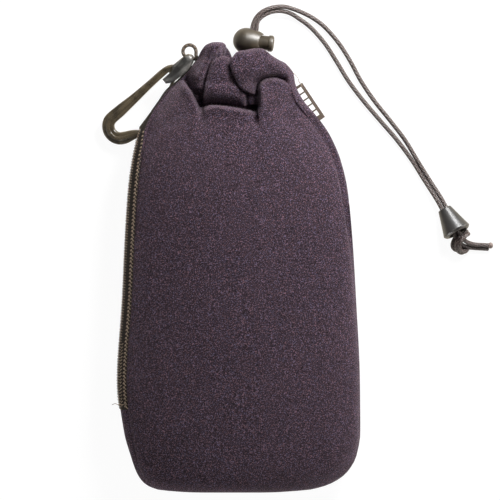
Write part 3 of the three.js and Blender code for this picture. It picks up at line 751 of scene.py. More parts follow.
def angle_at_x(x, y, roundness):
    left, right = eased(stations, y, 1), eased(stations, y, 2)
    share = np.clip((2 * x - left - right) / (right - left), -0.995, 0.995)
    return np.arccos(np.sign(share) * np.abs(share) ** (roundness / 2))


left_seam_height = [(-96.2, 17.8), (-86, 18.8), (-60, 20.6), (40, 21), (76, 20.6)]
left_seam_height += [(92, 17.4), (112, 15.6), (129, 15)]
right_seam_height = [(-96.2, 17.8), (-40, 16.8), (20, 17.4), (35, 18.5), (50, 19.5), (72, 20.1), (88, 21)]
right_seam_height += [(108, 18.5), (129, 16)]


def seam_angle(table, y):
    """The angle above the side at which the two panels meet."""
    middle, high = eased(stations, y, 4), eased(stations, y, 5)
    share = np.clip((eased(table, y) - middle) / (high - middle), 0.02, 0.98)
    return np.arcsin(share ** (front_roundness / 2))


# Where the facet's two edges run, and how deep the fabric folds there
left_valley = [(-97, -9), (-94, -16), (-86, -19.6), (60, -20), (88, -20.7), (93, -20.4), (96.7, -18.6)]
left_valley += [(105.5, -17), (116.5, -14.4), (121.3, -12.6), (125, -11), (129, -10.3)]
right_valley = [(-97, 1), (-94, 6), (-86, 9.2), (60, 9.6), (88, 9.4), (95.6, 8.9), (101, 8.7), (102.2, 7.2)]
right_valley += [(103.3, 4.6), (104.8, 2.2), (107, 0.1), (110.7, -1.9), (116, -4), (119.5, -4.8), (129, -5)]
facet_drop_left = [(88, 0), (93, 1.2), (96, 3), (100, 1.8), (110, 1.2), (118, 1.2), (126, 1.4)]
facet_drop_right = [(84, 0), (91, 1.1), (95.5, 4.4), (99, 6.4), (103, 6.4), (106, 5.2), (112, 4), (120, 3.4)]
left_lobe_drop = [(89, 0), (93, 0.8), (96, 7.4), (100, 7.4), (106, 6)]
left_lobe_drop += [(113, 4.8), (119, 3.8), (124, 2.8), (129, 2)]
right_lobe_drop = [(85, 0), (91, 0.6), (95.5, 3), (102, 3.2), (106, 2.4), (110, 1.1), (114, 0)]
facet_belly = 4.4
lip_radius = 1.3

# Where the stitches that hold the hem draw the cloth in, and the groove, slope and ridge that they make
hem_line = np.array(
    [
        (-29.6, 112),
        (-28.3, 110.7),
        (-26.9, 108.8),
        (-23.9, 104),
        (-21.7, 99.9),
        (-20, 96.6),
        (-18.4, 96.6),
        (-15, 97.6),
        (-9.3, 97.3),
        (-2.65, 96.3),
        (3.2, 95.1),
        (7.6, 94.7),
        (9, 96.6),
        (8.8, 105.5),
        (9.6, 108.4),
        (12, 110.3),
        (15.7, 111.25),
        (19.35, 110.9),
        (23, 109.6),
        (28, 107.4),
    ]
)
groove_depth, groove_width = 2.7, 1.05
slope_depth, slope_width = 2, 2.2
ridge_height, ridge_width = 0.75, 1.9
hem_set_back = 3.2

# Each pit: the parts it is in, its middle, half its width and height, and its depth
pits = [
    ((0, 1, 2), -19.5, 95.6, 1.4, 2.6, 3.4),
    ((1,), 6.4, 99.4, 2.9, 3.4, 9),
    ((0,), -22, 100.4, 2.2, 4, 1.6),
]

# Each crease: its two ends, its depth and its width
body_creases = [
    ((7.4, 94), (7.2, 89.4), 1.3, 2.2),
    ((7.2, 89.4), (-7.8, 81.3), 0.9, 3.2),
    ((-20.3, 94.5), (-18.6, 89), 1.3, 2.2),
    ((13.4, 126.4), (11.5, 121.8), 1.5, 0.6),
    ((-44, 84), (-30, 92), 0.5, 3.5),
    ((22, 92), (31, 84), 0.5, 3.5),
]


def to_line(line, x, y):
    """Distance from the points to a line of segments, below 0 on the line's right-hand side."""
    best = np.full(np.shape(x), 1e9)
    side = np.ones(np.shape(x))
    for (x0, y0), (x1, y1) in zip(line, line[1:]):
        dx, dy = x1 - x0, y1 - y0
        t = np.clip(((x - x0) * dx + (y - y0) * dy) / (dx * dx + dy * dy), 0, 1)
        away_x, away_y = x - x0 - t * dx, y - y0 - t * dy
        distance = np.hypot(away_x, away_y)
        nearer = distance < best - 1e-9
        best = np.where(nearer, distance, best)
        side = np.where(nearer, np.sign(dx * away_y - dy * away_x), side)
    return best * side


def bump(distance, width):
    return np.exp(-((distance / width) ** 2))


def fade(distance, width):
    return np.exp(-distance / width)


def rounded_lip(distance):
    """How far a fold's edge has rounded down at a distance inside it."""
    return lip_radius * (1 - np.sqrt(1 - (1 - np.minimum(distance / lip_radius, 1)) ** 2))


def front_drop(x, y, part):
    """How far the front sinks below its plain form. part is 0 left of the facet, 1 on it, 2 right of it."""
    left, right = eased(left_valley, y), eased(right_valley, y)
    hem = to_line(hem_line, x, y)
    in_hem = hem > 0
    near = np.abs(hem)

    along = np.clip((x - left) / (right - left), 0, 1)
    left_drop, right_drop = eased(facet_drop_left, y), eased(facet_drop_right, y)
    flat = left_drop + (right_drop - left_drop) * along - facet_belly * along * (1 - along)
    pinch = left_drop * fade(x - left, 2.6) + right_drop * fade(right - x, 3.2)
    facet = pinch + (flat - pinch) * ramp(hem, -0.8, 1.2) + 2.2 * fade(np.maximum(hem, 0), 2.4) * in_hem
    facet = facet + rounded_lip(np.maximum(x - left, 0)) * ramp(y, 94, 98)

    inside = ramp(hem, -0.5, 1.4)
    reach = 3.2 + 1.4 * (1 - ramp(y, 100, 112))
    left_lobe = eased(left_lobe_drop, y) * np.exp(-((np.maximum(left - x, 0) / reach) ** 1.6)) * inside
    left_lobe = left_lobe + 1.6 * fade(np.maximum(hem, 0), 2.6) * inside
    right_lobe = eased(right_lobe_drop, y) * (1 - ramp(x, 7.5, 15)) * inside
    right_lobe = right_lobe + rounded_lip(np.maximum(x - right, 0)) * ramp(y, 96, 103)

    drop = np.choose(part, [left_lobe, facet, right_lobe])
    groove = groove_depth * bump(near, groove_width)
    slope = np.where(in_hem, slope_depth * fade(near, slope_width), 0)
    drop = drop + groove + slope
    ridge = (ridge_height + 0.45 * ramp(y, 96, 101)) * bump(near - 2, ridge_width)
    drop = drop - np.where(in_hem, 0.5 * bump(near - 6, 5), ridge)
    drop = drop + hem_set_back * ramp(y, 58, 97) * np.where(in_hem, bump(near, 5), 1)
    for parts, middle_x, middle_y, half_width, half_height, depth in pits:
        away = ((x - middle_x) / half_width) ** 2 + ((y - middle_y) / half_height) ** 2
        drop = drop + np.where(np.isin(part, parts), depth * np.exp(-away), 0)
    for start, end, depth, width in body_creases:
        drop = drop + depth * bump(to_line([start, end], x, y), width)
    return drop


dent_size, dent_depth = 34, 0.55
dimple_size, dimple_depth = 13, 0.22


def undulation(x, y, z, seed):
    """The slow dents and swells of a soft thick sheet."""
    out = np.empty(np.shape(x))
    for index in np.ndindex(out.shape):
        spot = Vector((x[index], y[index] * 0.8, z[index] + seed))
        dent, dimple = noise.noise(spot / dent_size), noise.noise(spot / dimple_size)
        out[index] = dent_depth * dent + dimple_depth * dimple
    return out


left_rim = [(-21.6, 123), (-20.4, 126), (-18.8, 128.3), (-16.4, 128.9)]
left_rim += [(-14, 128.8), (-12, 127.8), (-10.2, 125.6)]
facet_rim = [(-13, 120.4), (-12.2, 121.2), (-10.2, 121.9), (-7.4, 121.2), (-4.9, 119.4)]
right_rim = [(-5.4, 119), (-4.6, 120.6), (-3.4, 122.4), (-2, 123.6), (0, 124.3), (5, 124.9), (9, 125.5)]
right_rim += [(12, 125.8), (14.2, 125.5), (17, 123.2), (20.6, 120.2)]
back_rim = [(-21.6, 123), (-19.4, 126), (-17, 127.9), (-14, 128.5), (-10.8, 127.7), (-8.1, 126)]
back_rim += [(-6.6, 123.8), (-5.4, 121), (-3.6, 120.2), (0, 120.4), (10, 120.8), (20.6, 120.2)]
body_rows = [-96.2, -96.15, -96.1, -95.95, -95.8, -95.4, -94.8, -94, -93, -91.5, -90, -88, -86, -84, -81, -78]
body_rows += [-75, -72, *np.arange(-68.5, 80, 3.5), *np.arange(80, 92, 1.5)]
body_rows += [*np.arange(92, last_row + 0.01, 0.44)]
hem_round = hem_thickness / 2
hem_squareness = 0.6
hem_fold_share = 0.45


def column_steps(count, crowding):
    """Steps from 0 to 1 that are crowded at both ends."""
    t = np.linspace(0, 1, count + 1)
    return t - crowding * np.sin(2 * math.pi * t) / (2 * math.pi)


def front_columns():
    """Each column of the front grid: its part of the panel, its share of it and how far down a wall it is."""
    columns = [(0, t, 0) for t in column_steps(60, 0.75)]
    columns += [(1, 0, wall) for wall in (0.35, 0.7)]
    columns += [(1, t, 1) for t in column_steps(44, 0.75)]
    columns += [(1, 1, wall) for wall in (0.7, 0.35)]
    columns += [(2, t, 0) for t in column_steps(64, 0.75)]
    return columns


def front_point(part, share, wall, y, inset, fold_share):
    """x and z of a column of the front panel at y, drawn in by inset, with a share of the folds' depth."""
    left_seam = math.pi - seam_angle(left_seam_height, y)
    right_seam = seam_angle(right_seam_height, y)
    valley_left = angle_at_x(eased(left_valley, y), y, front_roundness)
    valley_right = angle_at_x(eased(right_valley, y), y, front_roundness)
    start = np.choose(part, [left_seam, valley_left, valley_right])
    end = np.choose(part, [valley_left, valley_right, right_seam])
    angle = start + (end - start) * share
    x, z = section(angle, y, inset)
    drop = front_drop(x, y, part)
    is_wall = (part == 1) & (wall < 1)
    lobe_drop = np.where(share > 0.5, front_drop(x, y, 2 + 0 * part), front_drop(x, y, 0 * part))
    drop = np.where(is_wall, lobe_drop + (drop - lobe_drop) * wall, drop)
    overlap = 0.7 * ramp(y, 97, 103) * fold_share
    left, right = eased(left_valley, y), eased(right_valley, y)
    near_left = np.where(part == 1, fade(np.maximum(x - left, 0), 1.2), 0)
    near_right = np.where(part == 2, fade(np.maximum(x - right, 0), 1.2), 0)
    x = x - overlap * (near_left + near_right)
    return x, z - fold_share * drop


# Each fold of the back: its x at its foot and at the rim, and its depth
back_folds = ((18, 14.5, 2.6), (-14, -9, 3))
back_fold_foot = 91
back_fold_width = 4.8


def back_point(angle, y, inset, fold_share):
    x, z = section(angle, y, inset)
    along = np.clip((y - back_fold_foot) / 30, 0, 1)
    depth = ramp(y, back_fold_foot, back_fold_foot + 12) * fold_share
    underside = ramp(-np.sin(angle), 0, 0.3)
    for low, high, size in back_folds:
        away = np.abs(x - (low + (high - low) * along)) / back_fold_width
        z = z + depth * size * underside * np.clip(1 - away, 0, 1) ** 1.4
    return x, z


def panel_rows(rim):
    """A panel's rows, from its end seam over the rim to its hem's foot: y, inset and share of the folds."""
    rows = [(np.full(rim.shape, y), 0, 1) for y in body_rows]
    top = rim - hem_round
    for t in np.linspace(0, 1, 17)[1:]:
        rows.append((last_row + (top - last_row) * t, 0, 1))
    for degrees in range(12, 181, 12):
        turn = math.radians(degrees)
        inset = hem_round * (1 - math.cos(turn))
        rise = hem_round * math.sin(turn) ** hem_squareness
        rows.append((top + rise, inset, 1 - (1 - hem_fold_share) * inset / hem_thickness))
    for t in np.linspace(0, 1, 9)[1:]:
        rows.append((top + (hem_foot - top) * t, hem_thickness, hem_fold_share))
    return rows


def cloth_map(data, x, y, z, anchors):
    """A UV map of the cloth in metres, across it from each column's anchor and along it from row 0."""
    step_x, step_z = (np.diff(values, axis=1, prepend=values[:, :1]) for values in (x, z))
    across = np.cumsum(np.hypot(step_x, step_z), axis=1)
    across = across - across[:, anchors]
    steps = [np.diff(values, axis=0, prepend=values[:1]) for values in (x, y, z)]
    along = np.cumsum(np.sqrt(sum(step**2 for step in steps)), axis=0)
    spots = np.stack([across.ravel(), along.ravel()], axis=1) * mm
    corners = np.empty(len(data.loops), int)
    data.loops.foreach_get("vertex_index", corners)
    data.uv_layers.new(name="Cloth").data.foreach_set("uv", spots[corners].ravel())


def grid_piece(name, x, y, z, outward, thickness=sheet_thickness, anchors=None):
    """A sheet whose rows and columns are the arrays'. It is given its thickness inwards."""
    rows, columns = x.shape
    if anchors is None:
        anchors = np.full(columns, columns // 2)
    corners = [(a * mm, b * mm, c * mm) for a, b, c in zip(x.ravel(), y.ravel(), z.ravel())]
    faces = []
    for r in range(rows - 1):
        for c in range(columns - 1):
            i = r * columns + c
            face = (i, i + 1, i + columns + 1, i + columns)
            faces.append(face[::outward])
    data = bpy.data.meshes.new(name)
    data.from_pydata(corners, [], faces)
    cloth_map(data, x, y, z, anchors)
    piece = new_piece(name, data)
    select_only(piece)
    bpy.ops.object.shade_smooth()
    modifier = piece.modifiers.new("thickness", "SOLIDIFY")
    modifier.thickness = thickness * mm
    modifier.offset = -1
    modifier.use_even_offset = False
    bpy.ops.object.modifier_apply(modifier=modifier.name)
    return piece


tuck_width = 1.5
tuck_columns = 24


def tuck_seams(x, y, z, toward_z, sink_width):
    """Draws both side edges of a panel in towards its middle, as the seams do, and the right one down too."""
    middle_x = (x[:, 0] + x[:, -1]) / 2
    right_y = y[:, -1]
    right_depth = 0.3 + 1.2 * ramp(right_y, 5, 40)
    right_sink = 2.4 * ramp(right_y, 2, 40) * (1 - ramp(right_y, 88, 98))
    for first, step, depth, sink in ((0, 1, 0.6, 0), (-1, -1, right_depth, right_sink)):
        run = np.zeros(x.shape[0])
        for count in range(tuck_columns):
            column = first + step * count
            old_x, old_z = x[:, column].copy(), z[:, column].copy()
            far = np.hypot(middle_x - old_x, toward_z - old_z)
            pull = depth * bump(run, tuck_width)
            x[:, column] += pull * (middle_x - old_x) / far
            z[:, column] += pull * (toward_z - old_z) / far - sink * bump(run, sink_width)
            run = run + np.hypot(x[:, column + step] - old_x, z[:, column + step] - old_z)


part, share, wall = (np.array(values) for values in zip(*front_columns()))
rim_x, _ = front_point(part, share, wall, np.full(part.shape, rim_y), 0, 1)
rim = np.choose(part, [eased(left_rim, rim_x), eased(facet_rim, rim_x), eased(right_rim, rim_x)])
wall_rim = np.where(share > 0.5, eased(right_rim, rim_x), eased(left_rim, rim_x))
rim = np.where((part == 1) & (wall < 1), wall_rim + (rim - wall_rim) * wall, rim)
rows = panel_rows(rim)
grids = [(*front_point(part, share, wall, y, inset, fold), y) for y, inset, fold in rows]
front_x, front_z, front_y = (np.array(values) for values in zip(*grids))
swell = undulation(front_x, front_y, front_z, 0)
front_z = front_z + swell * ramp(front_y, -96, -84) * (1 - 0.6 * ramp(front_y, 92, 104))
tuck_seams(front_x, front_y, front_z, toward_z=12, sink_width=0.9)
anchors = np.array([int(np.flatnonzero(part == number).mean()) for number in part])
front = grid_piece("front_panel_cloth", front_x, front_y, front_z, 1, anchors=anchors)

back_share = column_steps(160, 0.6)


def back_angles(y):
    """The angles of the back panel's columns at y, from the left seam round below to the right one."""
    start = math.pi - seam_angle(left_seam_height, y)
    end = 2 * math.pi + seam_angle(right_seam_height, y)
    return start + (end - start) * back_share


rim_x, _ = back_point(back_angles(rim_y), np.full(back_share.shape, rim_y), 0, 1)
rows = panel_rows(eased(back_rim, rim_x))
grids = [(*back_point(back_angles(y), y, inset, fold), y) for y, inset, fold in rows]
back_x, back_z, back_y = (np.array(values) for values in zip(*grids))
swell = undulation(back_x, back_y, back_z, 70)
off_the_table = ramp(back_z, 0.4, 5)
back_z = back_z + swell * off_the_table * ramp(back_y, -96, -84)
tuck_seams(back_x, back_y, back_z, toward_z=18, sink_width=4)
back = grid_piece("back_panel_cloth", back_x, back_y, back_z, -1)


wale_width = 0.5 * mm
course_height = 0.45 * mm


def neoprene_finish():
    """The knitted face of neoprene: dark plum yarn with paler and darker stitches, a fine matt nap, and
    painted shade in the hollows between the knit's loops.
    """
    finish = Finish("neoprene", Specular_IOR_Level=0.15, Sheen_Weight=0.3, Sheen_Roughness=0.28)
    finish.shader.inputs["Sheen Tint"].default_value = (0.85, 0.66, 0.74, 1)
    cloth = finish.node("ShaderNodeUVMap", {"uv_map": "Cloth"}, {})
    wale = finish.axis(cloth, 0) * (1 / wale_width)
    course = finish.axis(cloth, 1) * (1 / course_height)
    middle = wale.fraction() - 0.5
    lean = middle.math("ABSOLUTE", middle)
    loop = ((course + lean * 1.2) * (2 * math.pi)).wave() * (wale.fraction() * math.pi).wave()
    where = finish.place()
    aside = finish.node("ShaderNodeMapping", {}, {"Vector": where, "Location": (0.3, 0.2, 0.1)})
    fleck = finish.grain(2100, 2, where)
    shade = finish.grain(2100, 2, aside)
    hue = finish.grain(1300, 2, aside)
    drift = finish.grain(28, 2, where)
    base = finish.mix(drift.over(0.3, 0.7), eye(54, 42, 50), eye(61, 48, 56))
    # Dark speckle at random, plus painted shade: the loop term darkens the hollows between the knit's loops.
    speckle_and_knit_shade = finish.mix(shade.over(0.44, 0.62) * 0.8 + 0.1 * (1 - loop), base, eye(14, 9, 12))
    thread = finish.mix(hue.over(0.4, 0.6), eye(126, 116, 148), eye(156, 116, 128))
    finish.colour(finish.mix(fleck.over(0.5, 0.68) * 0.75, speckle_and_knit_shade, thread))
    finish.gloss(0.9 - fleck * 0.12)
    finish.relief(loop * 0.5 + finish.grain(2600, 2, where), 0.0002)
    return finish


neoprene = neoprene_finish()
neoprene.on(front, back)
for panel, node in ((front, "front_panel"), (back, "back_panel")):
    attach(panel, "pouch")
    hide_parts(node)


# The left seam.
# The panels are joined flat, edge to edge. A raised band of dark looper thread covers the join. Paler slanted
# stitches run along both its edges and over its lower end, where the thread's end hangs loose.
rim_rows_reached = 14
rows_below_rim = len(body_rows) + rim_rows_reached
seam_columns = range(30)


def skin_spot(y, along, lift):
    """A point of the skin at y, along mm from the left seam: above 0 on the front, below 0 on the back."""
    grid = (front_x, front_y, front_z) if along >= 0 else (back_x, back_y, back_z)
    grid_x, grid_y, grid_z = (values[:rows_below_rim] for values in grid)
    line_x = np.array([np.interp(y, grid_y[:, c], grid_x[:, c]) for c in seam_columns])
    line_z = np.array([np.interp(y, grid_y[:, c], grid_z[:, c]) for c in seam_columns])
    run = run_along(np.stack([line_x, line_z], axis=1))
    near, far = max(abs(along) - 0.5, 0), abs(along) + 0.5
    x0, x1, x = (np.interp(at, run, line_x) for at in (near, far, abs(along)))
    z0, z1, z = (np.interp(at, run, line_z) for at in (near, far, abs(along)))
    out = Vector((z1 - z0, 0, x0 - x1)).normalized()
    middle = Vector((0, 0, 14))
    if out.dot(Vector((x, 0, z)) - middle) < 0:
        out.negate()
    return Vector((x, y, z)) + out * lift


seam_top, seam_bottom = 118, -56
band_middle, band_half = -2.9, 3.9
band_height, band_tuck_in = 0.42, 0.6
band_y = np.arange(seam_bottom, seam_top, 1.0)
band_along = np.linspace(band_middle - band_half, band_middle + band_half, 15)


def band_lift(y, along):
    """How far the band stands off the skin. It is bulkier over the hem, and tucked in at its foot."""
    bulk = 0.5 * ramp(y, 99, 106) * (1 - ramp(y, 112, 117))
    edge = min(abs(along - band_middle) / band_half, 1)
    tuck = band_tuck_in * (1 - ramp(y, seam_bottom, seam_bottom + 3))
    return float((band_height + bulk) * (1 - edge**6) - tuck)


band = [[skin_spot(y, s, band_lift(y, s)) for s in band_along] for y in band_y]
band_points = np.array([[tuple(point) for point in row] for row in band])
band_x, band_rows_y, band_z = np.moveaxis(band_points, 2, 0)
seam_band = grid_piece("left_seam_band", band_x, band_rows_y, band_z, 1, 0.5)

# Each row: from where to where it runs, its pitch, its start and end across the seam, its rise along it, and
# how far it stands off the band
stitch_rows = [
    (-54, 86, 1.35, -6.2, -3.4, -1.3, 0.22),
    (-54, 84, 1.9, 0.6, -0.5, 1.3, 0),
    (-54, 84, 1.9, -0.5, -1.1, -0.9, 0),
    (-54, -22, 1.6, -2.9, -2.1, 0.8, 0),
]
slants = []
for row, (first, last, pitch, start, end, rise, stand_off) in enumerate(stitch_rows):
    for count, y in enumerate(np.arange(first + 0.5 * row, last, pitch)):
        jitter = 0.25 * noise.noise(Vector((count * 1.7, start, row)))
        slant = []
        for t, lift in ((0, -0.1), (0.2, 0.2), (0.5, 0.32), (0.8, 0.2), (1, -0.1)):
            along = start + (end - start) * t
            proud = band_lift(y, along) + lift + stand_off
            slant.append(skin_spot(y + jitter + rise * (t - 0.5), along, proud))
        slants.append([point * mm for point in slant])
slant_stitches = round_tube("left_seam_stitches", slants, 0.22 * mm, 6)
loose = [skin_spot(-52, 0, 0.4), (-60.9, -52.2, 20.1), (-62.3, -51.7, 19.4), (-63.9, -52.3, 18.6)]
loose_end = round_tube("left_seam_loose_thread", [smooth_path(loose, 0.4)], 0.16 * mm, 6)


def thread_finish(name, dark, pale):
    """Spun thread: pale and dark fibres along a matt strand."""
    finish = Finish(name, Specular_IOR_Level=0.3)
    fibre = finish.grain(4200, 2)
    finish.colour(finish.mix(fibre.over(0.35, 0.7), dark, pale))
    finish.gloss(fibre * 0.2 + 0.6)
    finish.relief(fibre, 0.00008)
    return finish


looper = thread_finish("looper thread", eye(20, 16, 14), eye(50, 41, 36))
looper.on(seam_band)
seam_thread = thread_finish("seam thread", eye(96, 78, 64), eye(190, 168, 146))
seam_thread.on(slant_stitches, loose_end)
for piece in (seam_band, slant_stitches, loose_end):
    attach(piece, "pouch")


# The hem's stitches and the loose threads.
# A single row of dark lockstitches holds the folded-in hem, and pulls a groove into the cloth. At the right
# seam a fine thread end has come loose from it.
skin = BVHTree.FromObject(front, bpy.context.evaluated_depsgraph_get())
above_skin, about_skin = 60, 18


def on_front(x, y, lift):
    hit, normal, _, _ = skin.ray_cast(Vector((x, y, above_skin)) * mm, Vector((0, 0, -1)))
    if hit is None:
        hit, normal, _, _ = skin.find_nearest(Vector((x, y, about_skin)) * mm)
    return hit + normal * lift * mm


stitch_length, stitch_gap = 1, 0.75
hem_run = smooth_path([(x, y, 0) for x, y in hem_line[1:]], 0.5) / mm
hem_at = run_along(hem_run)
dashes = []
for start in np.arange(0.6, hem_at[-1] - 2, stitch_length + stitch_gap):
    dash = []
    for t, lift in ((0, -0.25), (0.2, 0.2), (0.6, 0.34), (1, 0.2), (1.2, -0.25)):
        x, y = (np.interp(start + t, hem_at, hem_run[:, axis]) for axis in (0, 1))
        dash.append(on_front(x, y, lift))
    dashes.append(dash)
hem_stitches = round_tube("hem_stitches", dashes, 0.3 * mm, 6)
hem_thread = thread_finish("hem thread", eye(20, 16, 18), eye(46, 37, 42))
hem_thread.on(hem_stitches)
whisker = [(26.6, 113.4, 18), (27.4, 112.7, 18.6), (28.9, 110.9, 18.8), (29.7, 108.2, 17.6)]
tuft = [(29.2, 109.4, 17.5), (30.6, 107.9, 18.2), (30.9, 106.3, 17.7)]
thread_paths = [smooth_path(thread, 0.4) for thread in (whisker, tuft)]
right_threads = round_tube("right_seam_loose_threads", thread_paths, 0.12 * mm, 6)
seam_thread.on(right_threads)
for piece in (hem_stitches, right_threads):
    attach(piece, "pouch")


# The side label.
# A woven ribbon folded double, with both its ends caught in the right seam. A row of plain pale bars is woven
# into its face.
label_heading = math.atan2(-0.831, 0.556)
label_length = 20.6
label_width = 4.9
label_seat = 2.2
label_place = Vector((27, 105.9, 16.1)) * mm
label_layer = 0.34
label_middle = 2.2
fold_radius = 0.4
label_rows = 15

label_profile = [(across, fold_radius) for across in (-label_seat, 0, label_middle)]
for degrees in range(0, 181, 30):
    turn = math.radians(degrees)
    past_edge = fold_radius * math.sin(turn) - fold_radius
    label_profile.append((label_width + past_edge, fold_radius * math.cos(turn)))
label_profile += [(across, -fold_radius) for across in (label_middle, 0, -label_seat)]
label_x = np.repeat(np.linspace(0, label_length, label_rows)[:, None], len(label_profile), axis=1)
label_y, label_z = (np.repeat(np.array([values]), label_rows, axis=0) for values in zip(*label_profile))
label = grid_piece("side_label_ribbon", label_x, label_y, label_z, -1, label_layer)
label.matrix_world = Matrix.Translation(label_place) @ Matrix.Rotation(label_heading, 4, "Z")
settle(label)
smooth_by_angle(label, 40)
ribbon_finish = Finish("woven ribbon", Specular_IOR_Level=0.3)
spot = ribbon_finish.node(
    "ShaderNodeMapping",
    {"vector_type": "TEXTURE"},
    {"Vector": ribbon_finish.place(), "Location": label_place, "Rotation": (0, 0, label_heading)},
)
along = ribbon_finish.axis(spot, 0)
across = ribbon_finish.axis(spot, 1)
bar_pitch = 3.5 * mm
bars_start, bars_end = 0.9 * mm, 18.3 * mm
bars_low, bars_high = 0.4 * mm, 3.2 * mm
blur = 0.1 * mm
phase = ((along - bars_start) * (1 / bar_pitch)).fraction()
bars = phase.over(0.1, 0.16) * (1 - phase.over(0.86, 0.92))
for measure, start, end in ((across, bars_low, bars_high), (along, bars_start, bars_end)):
    bars = bars * measure.over(start - blur, start + blur) * (1 - measure.over(end - blur, end + blur))
weft = (along * 9000).wave() * 0.5 + (across * 7000).wave() * 0.5
cloth = ribbon_finish.mix(ribbon_finish.grain(2600), eye(60, 50, 44), eye(98, 84, 72))
ribbon_finish.colour(ribbon_finish.mix(bars, cloth, eye(236, 236, 236)))
ribbon_finish.gloss(0.75 + weft * 0.1)
ribbon_finish.relief(weft, 0.00006)
ribbon_finish.on(label)
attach(label, "pouch")
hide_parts("side_label")


# The hook's loop.
# A thin braided cord, bent to a ring through the hook's eye, with both ends caught in the left seam.
ring_centre = Vector((-25.25, 124.25, 14.8))
ring_radius = 3.25
loop_cord_radius = 0.9
ring = [(-19.2, 119.7, 16), (-20.9, 120.5, 15.8), (-21.9, 122.2, 15.3)]
for degrees in range(2, 293, 29):
    turn = math.radians(degrees)
    ring.append(ring_centre + ring_radius * Vector((math.cos(turn), math.sin(turn), 0)))
ring += [(-22.2, 120.4, 14.2), (-19.4, 119.6, 14)]
hook_loop = round_tube("hook_cord_loop", [smooth_path(ring, 0.4)], loop_cord_radius * mm)
loop_braid = braid_finish("loop braid", eye(26, 21, 17), eye(112, 94, 76), 3, 2.2 * mm)
loop_braid.on(hook_loop)
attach(hook_loop, "pouch")
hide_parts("hook_loop")


# The snap hook.
# One moulding of hard plastic: an eye head, a flat spine with a thicker rib, a round bend and a nose. It is
# drawn flat in its own frame, with X along the spine and Y towards the gate, and then turned into place.
hook_heading = math.radians(218.6)
hook_drop = math.radians(11.9)
hook_along = Vector(
    (
        math.cos(hook_heading) * math.cos(hook_drop),
        math.sin(hook_heading) * math.cos(hook_drop),
        -math.sin(hook_drop),
    )
)
hook_across = Vector((-math.sin(hook_heading), math.cos(hook_heading), 0))
hook_frame = Matrix((hook_along, hook_across, hook_along.cross(hook_across))).transposed().to_4x4()
hook_frame.translation = Vector((-27, 120, 14.8)) * mm
rib_thickness = 4.8
web_thickness = 3.4
head_thickness = 3.8
eye_hole_radius = 1.2
bend_x, bend_y, bend_radius, bend_half_width = 47.4, 5.2, 6.1, 3.05

# Points along the hook from its head to its nose: x, y and half the width
hook_line = [(6.2, -0.9, 0.9), (7.8, -1.6, 1.3), (10, -2.25, 1.6), (13, -2.4, 1.75), (22, -1.95, 1.85)]
hook_line += [(33, -1.3, 2.35), (42.5, -0.95, 2.95)]
for degrees in range(-68, 73, 28):
    turn = math.radians(degrees)
    across_bend = (bend_x + bend_radius * math.cos(turn), bend_y + bend_radius * math.sin(turn))
    hook_line.append((*across_bend, bend_half_width))
hook_line += [(45.3, 12.4, 2.5), (42.4, 13.7, 1.8), (40.3, 14.8, 0.9)]


def ribbon(name, line, thickness, rounding):
    """A flat bar of the thickness along a line of (x, y, half width) in millimetres, with rounded edges."""
    line = smooth_path(line, 0.9) / mm
    slope = np.gradient(line[:, :2], axis=0)
    normal = np.stack([-slope[:, 1], slope[:, 0]], axis=1) / np.linalg.norm(slope, axis=1)[:, None]
    left_side = line[:, :2] + normal * line[:, 2:]
    right_side = line[:, :2] - normal * line[:, 2:]
    last = len(line) - 1
    bpy.ops.object.select_all(action="DESELECT")
    bpy.ops.mesh.primitive_grid_add(x_subdivisions=last, y_subdivisions=1, size=2, location=(0, 0, 0))
    piece = bpy.context.object
    piece.name = name
    for vertex in piece.data.vertices:
        place = round((vertex.co.x + 1) / 2 * last)
        side = left_side if vertex.co.y > 0 else right_side
        vertex.co = Vector((*side[place], -thickness / 2)) * mm
    edit_all()
    bpy.ops.mesh.extrude_region_move(TRANSFORM_OT_translate={"value": (0, 0, thickness * mm)})
    bpy.ops.mesh.select_all(action="SELECT")
    bpy.ops.mesh.normals_make_consistent(inside=False)
    bpy.ops.object.mode_set(mode="OBJECT")
    soften(piece, rounding, 4, 50)
    smooth_by_angle(piece, 38)
    return piece


hook = ribbon("snap_hook", hook_line, web_thickness, 0.85)
rib_shift = [0, -0.3, -0.6, -0.75, -0.6, -0.35, -0.1, *[0] * 9]
rib_half = [0.4, 0.5, 0.6, 0.7, 0.75, 0.85, 0.95, *[1] * 6, 0.95, 0.8, 0.55]
rib_line = [(x, y + dy, half) for (x, y, _), dy, half in zip(hook_line, rib_shift, rib_half)]
rib = ribbon("hook_rib", rib_line, rib_thickness, 0.5)


def outline_solid(name, outline, thickness):
    """A flat solid with the outline, in millimetres, centred on its plane."""
    bpy.ops.object.select_all(action="DESELECT")
    bpy.ops.mesh.primitive_circle_add(vertices=len(outline), radius=1, fill_type="NGON", location=(0, 0, 0))
    piece = bpy.context.object
    piece.name = name
    for vertex, (x, y) in zip(piece.data.vertices, outline):
        vertex.co = Vector((x, y, -thickness / 2)) * mm
    edit_all()
    bpy.ops.mesh.extrude_region_move(TRANSFORM_OT_translate={"value": (0, 0, thickness * mm)})
    bpy.ops.mesh.select_all(action="SELECT")
    bpy.ops.mesh.normals_make_consistent(inside=False)
    bpy.ops.object.mode_set(mode="OBJECT")
    return piece


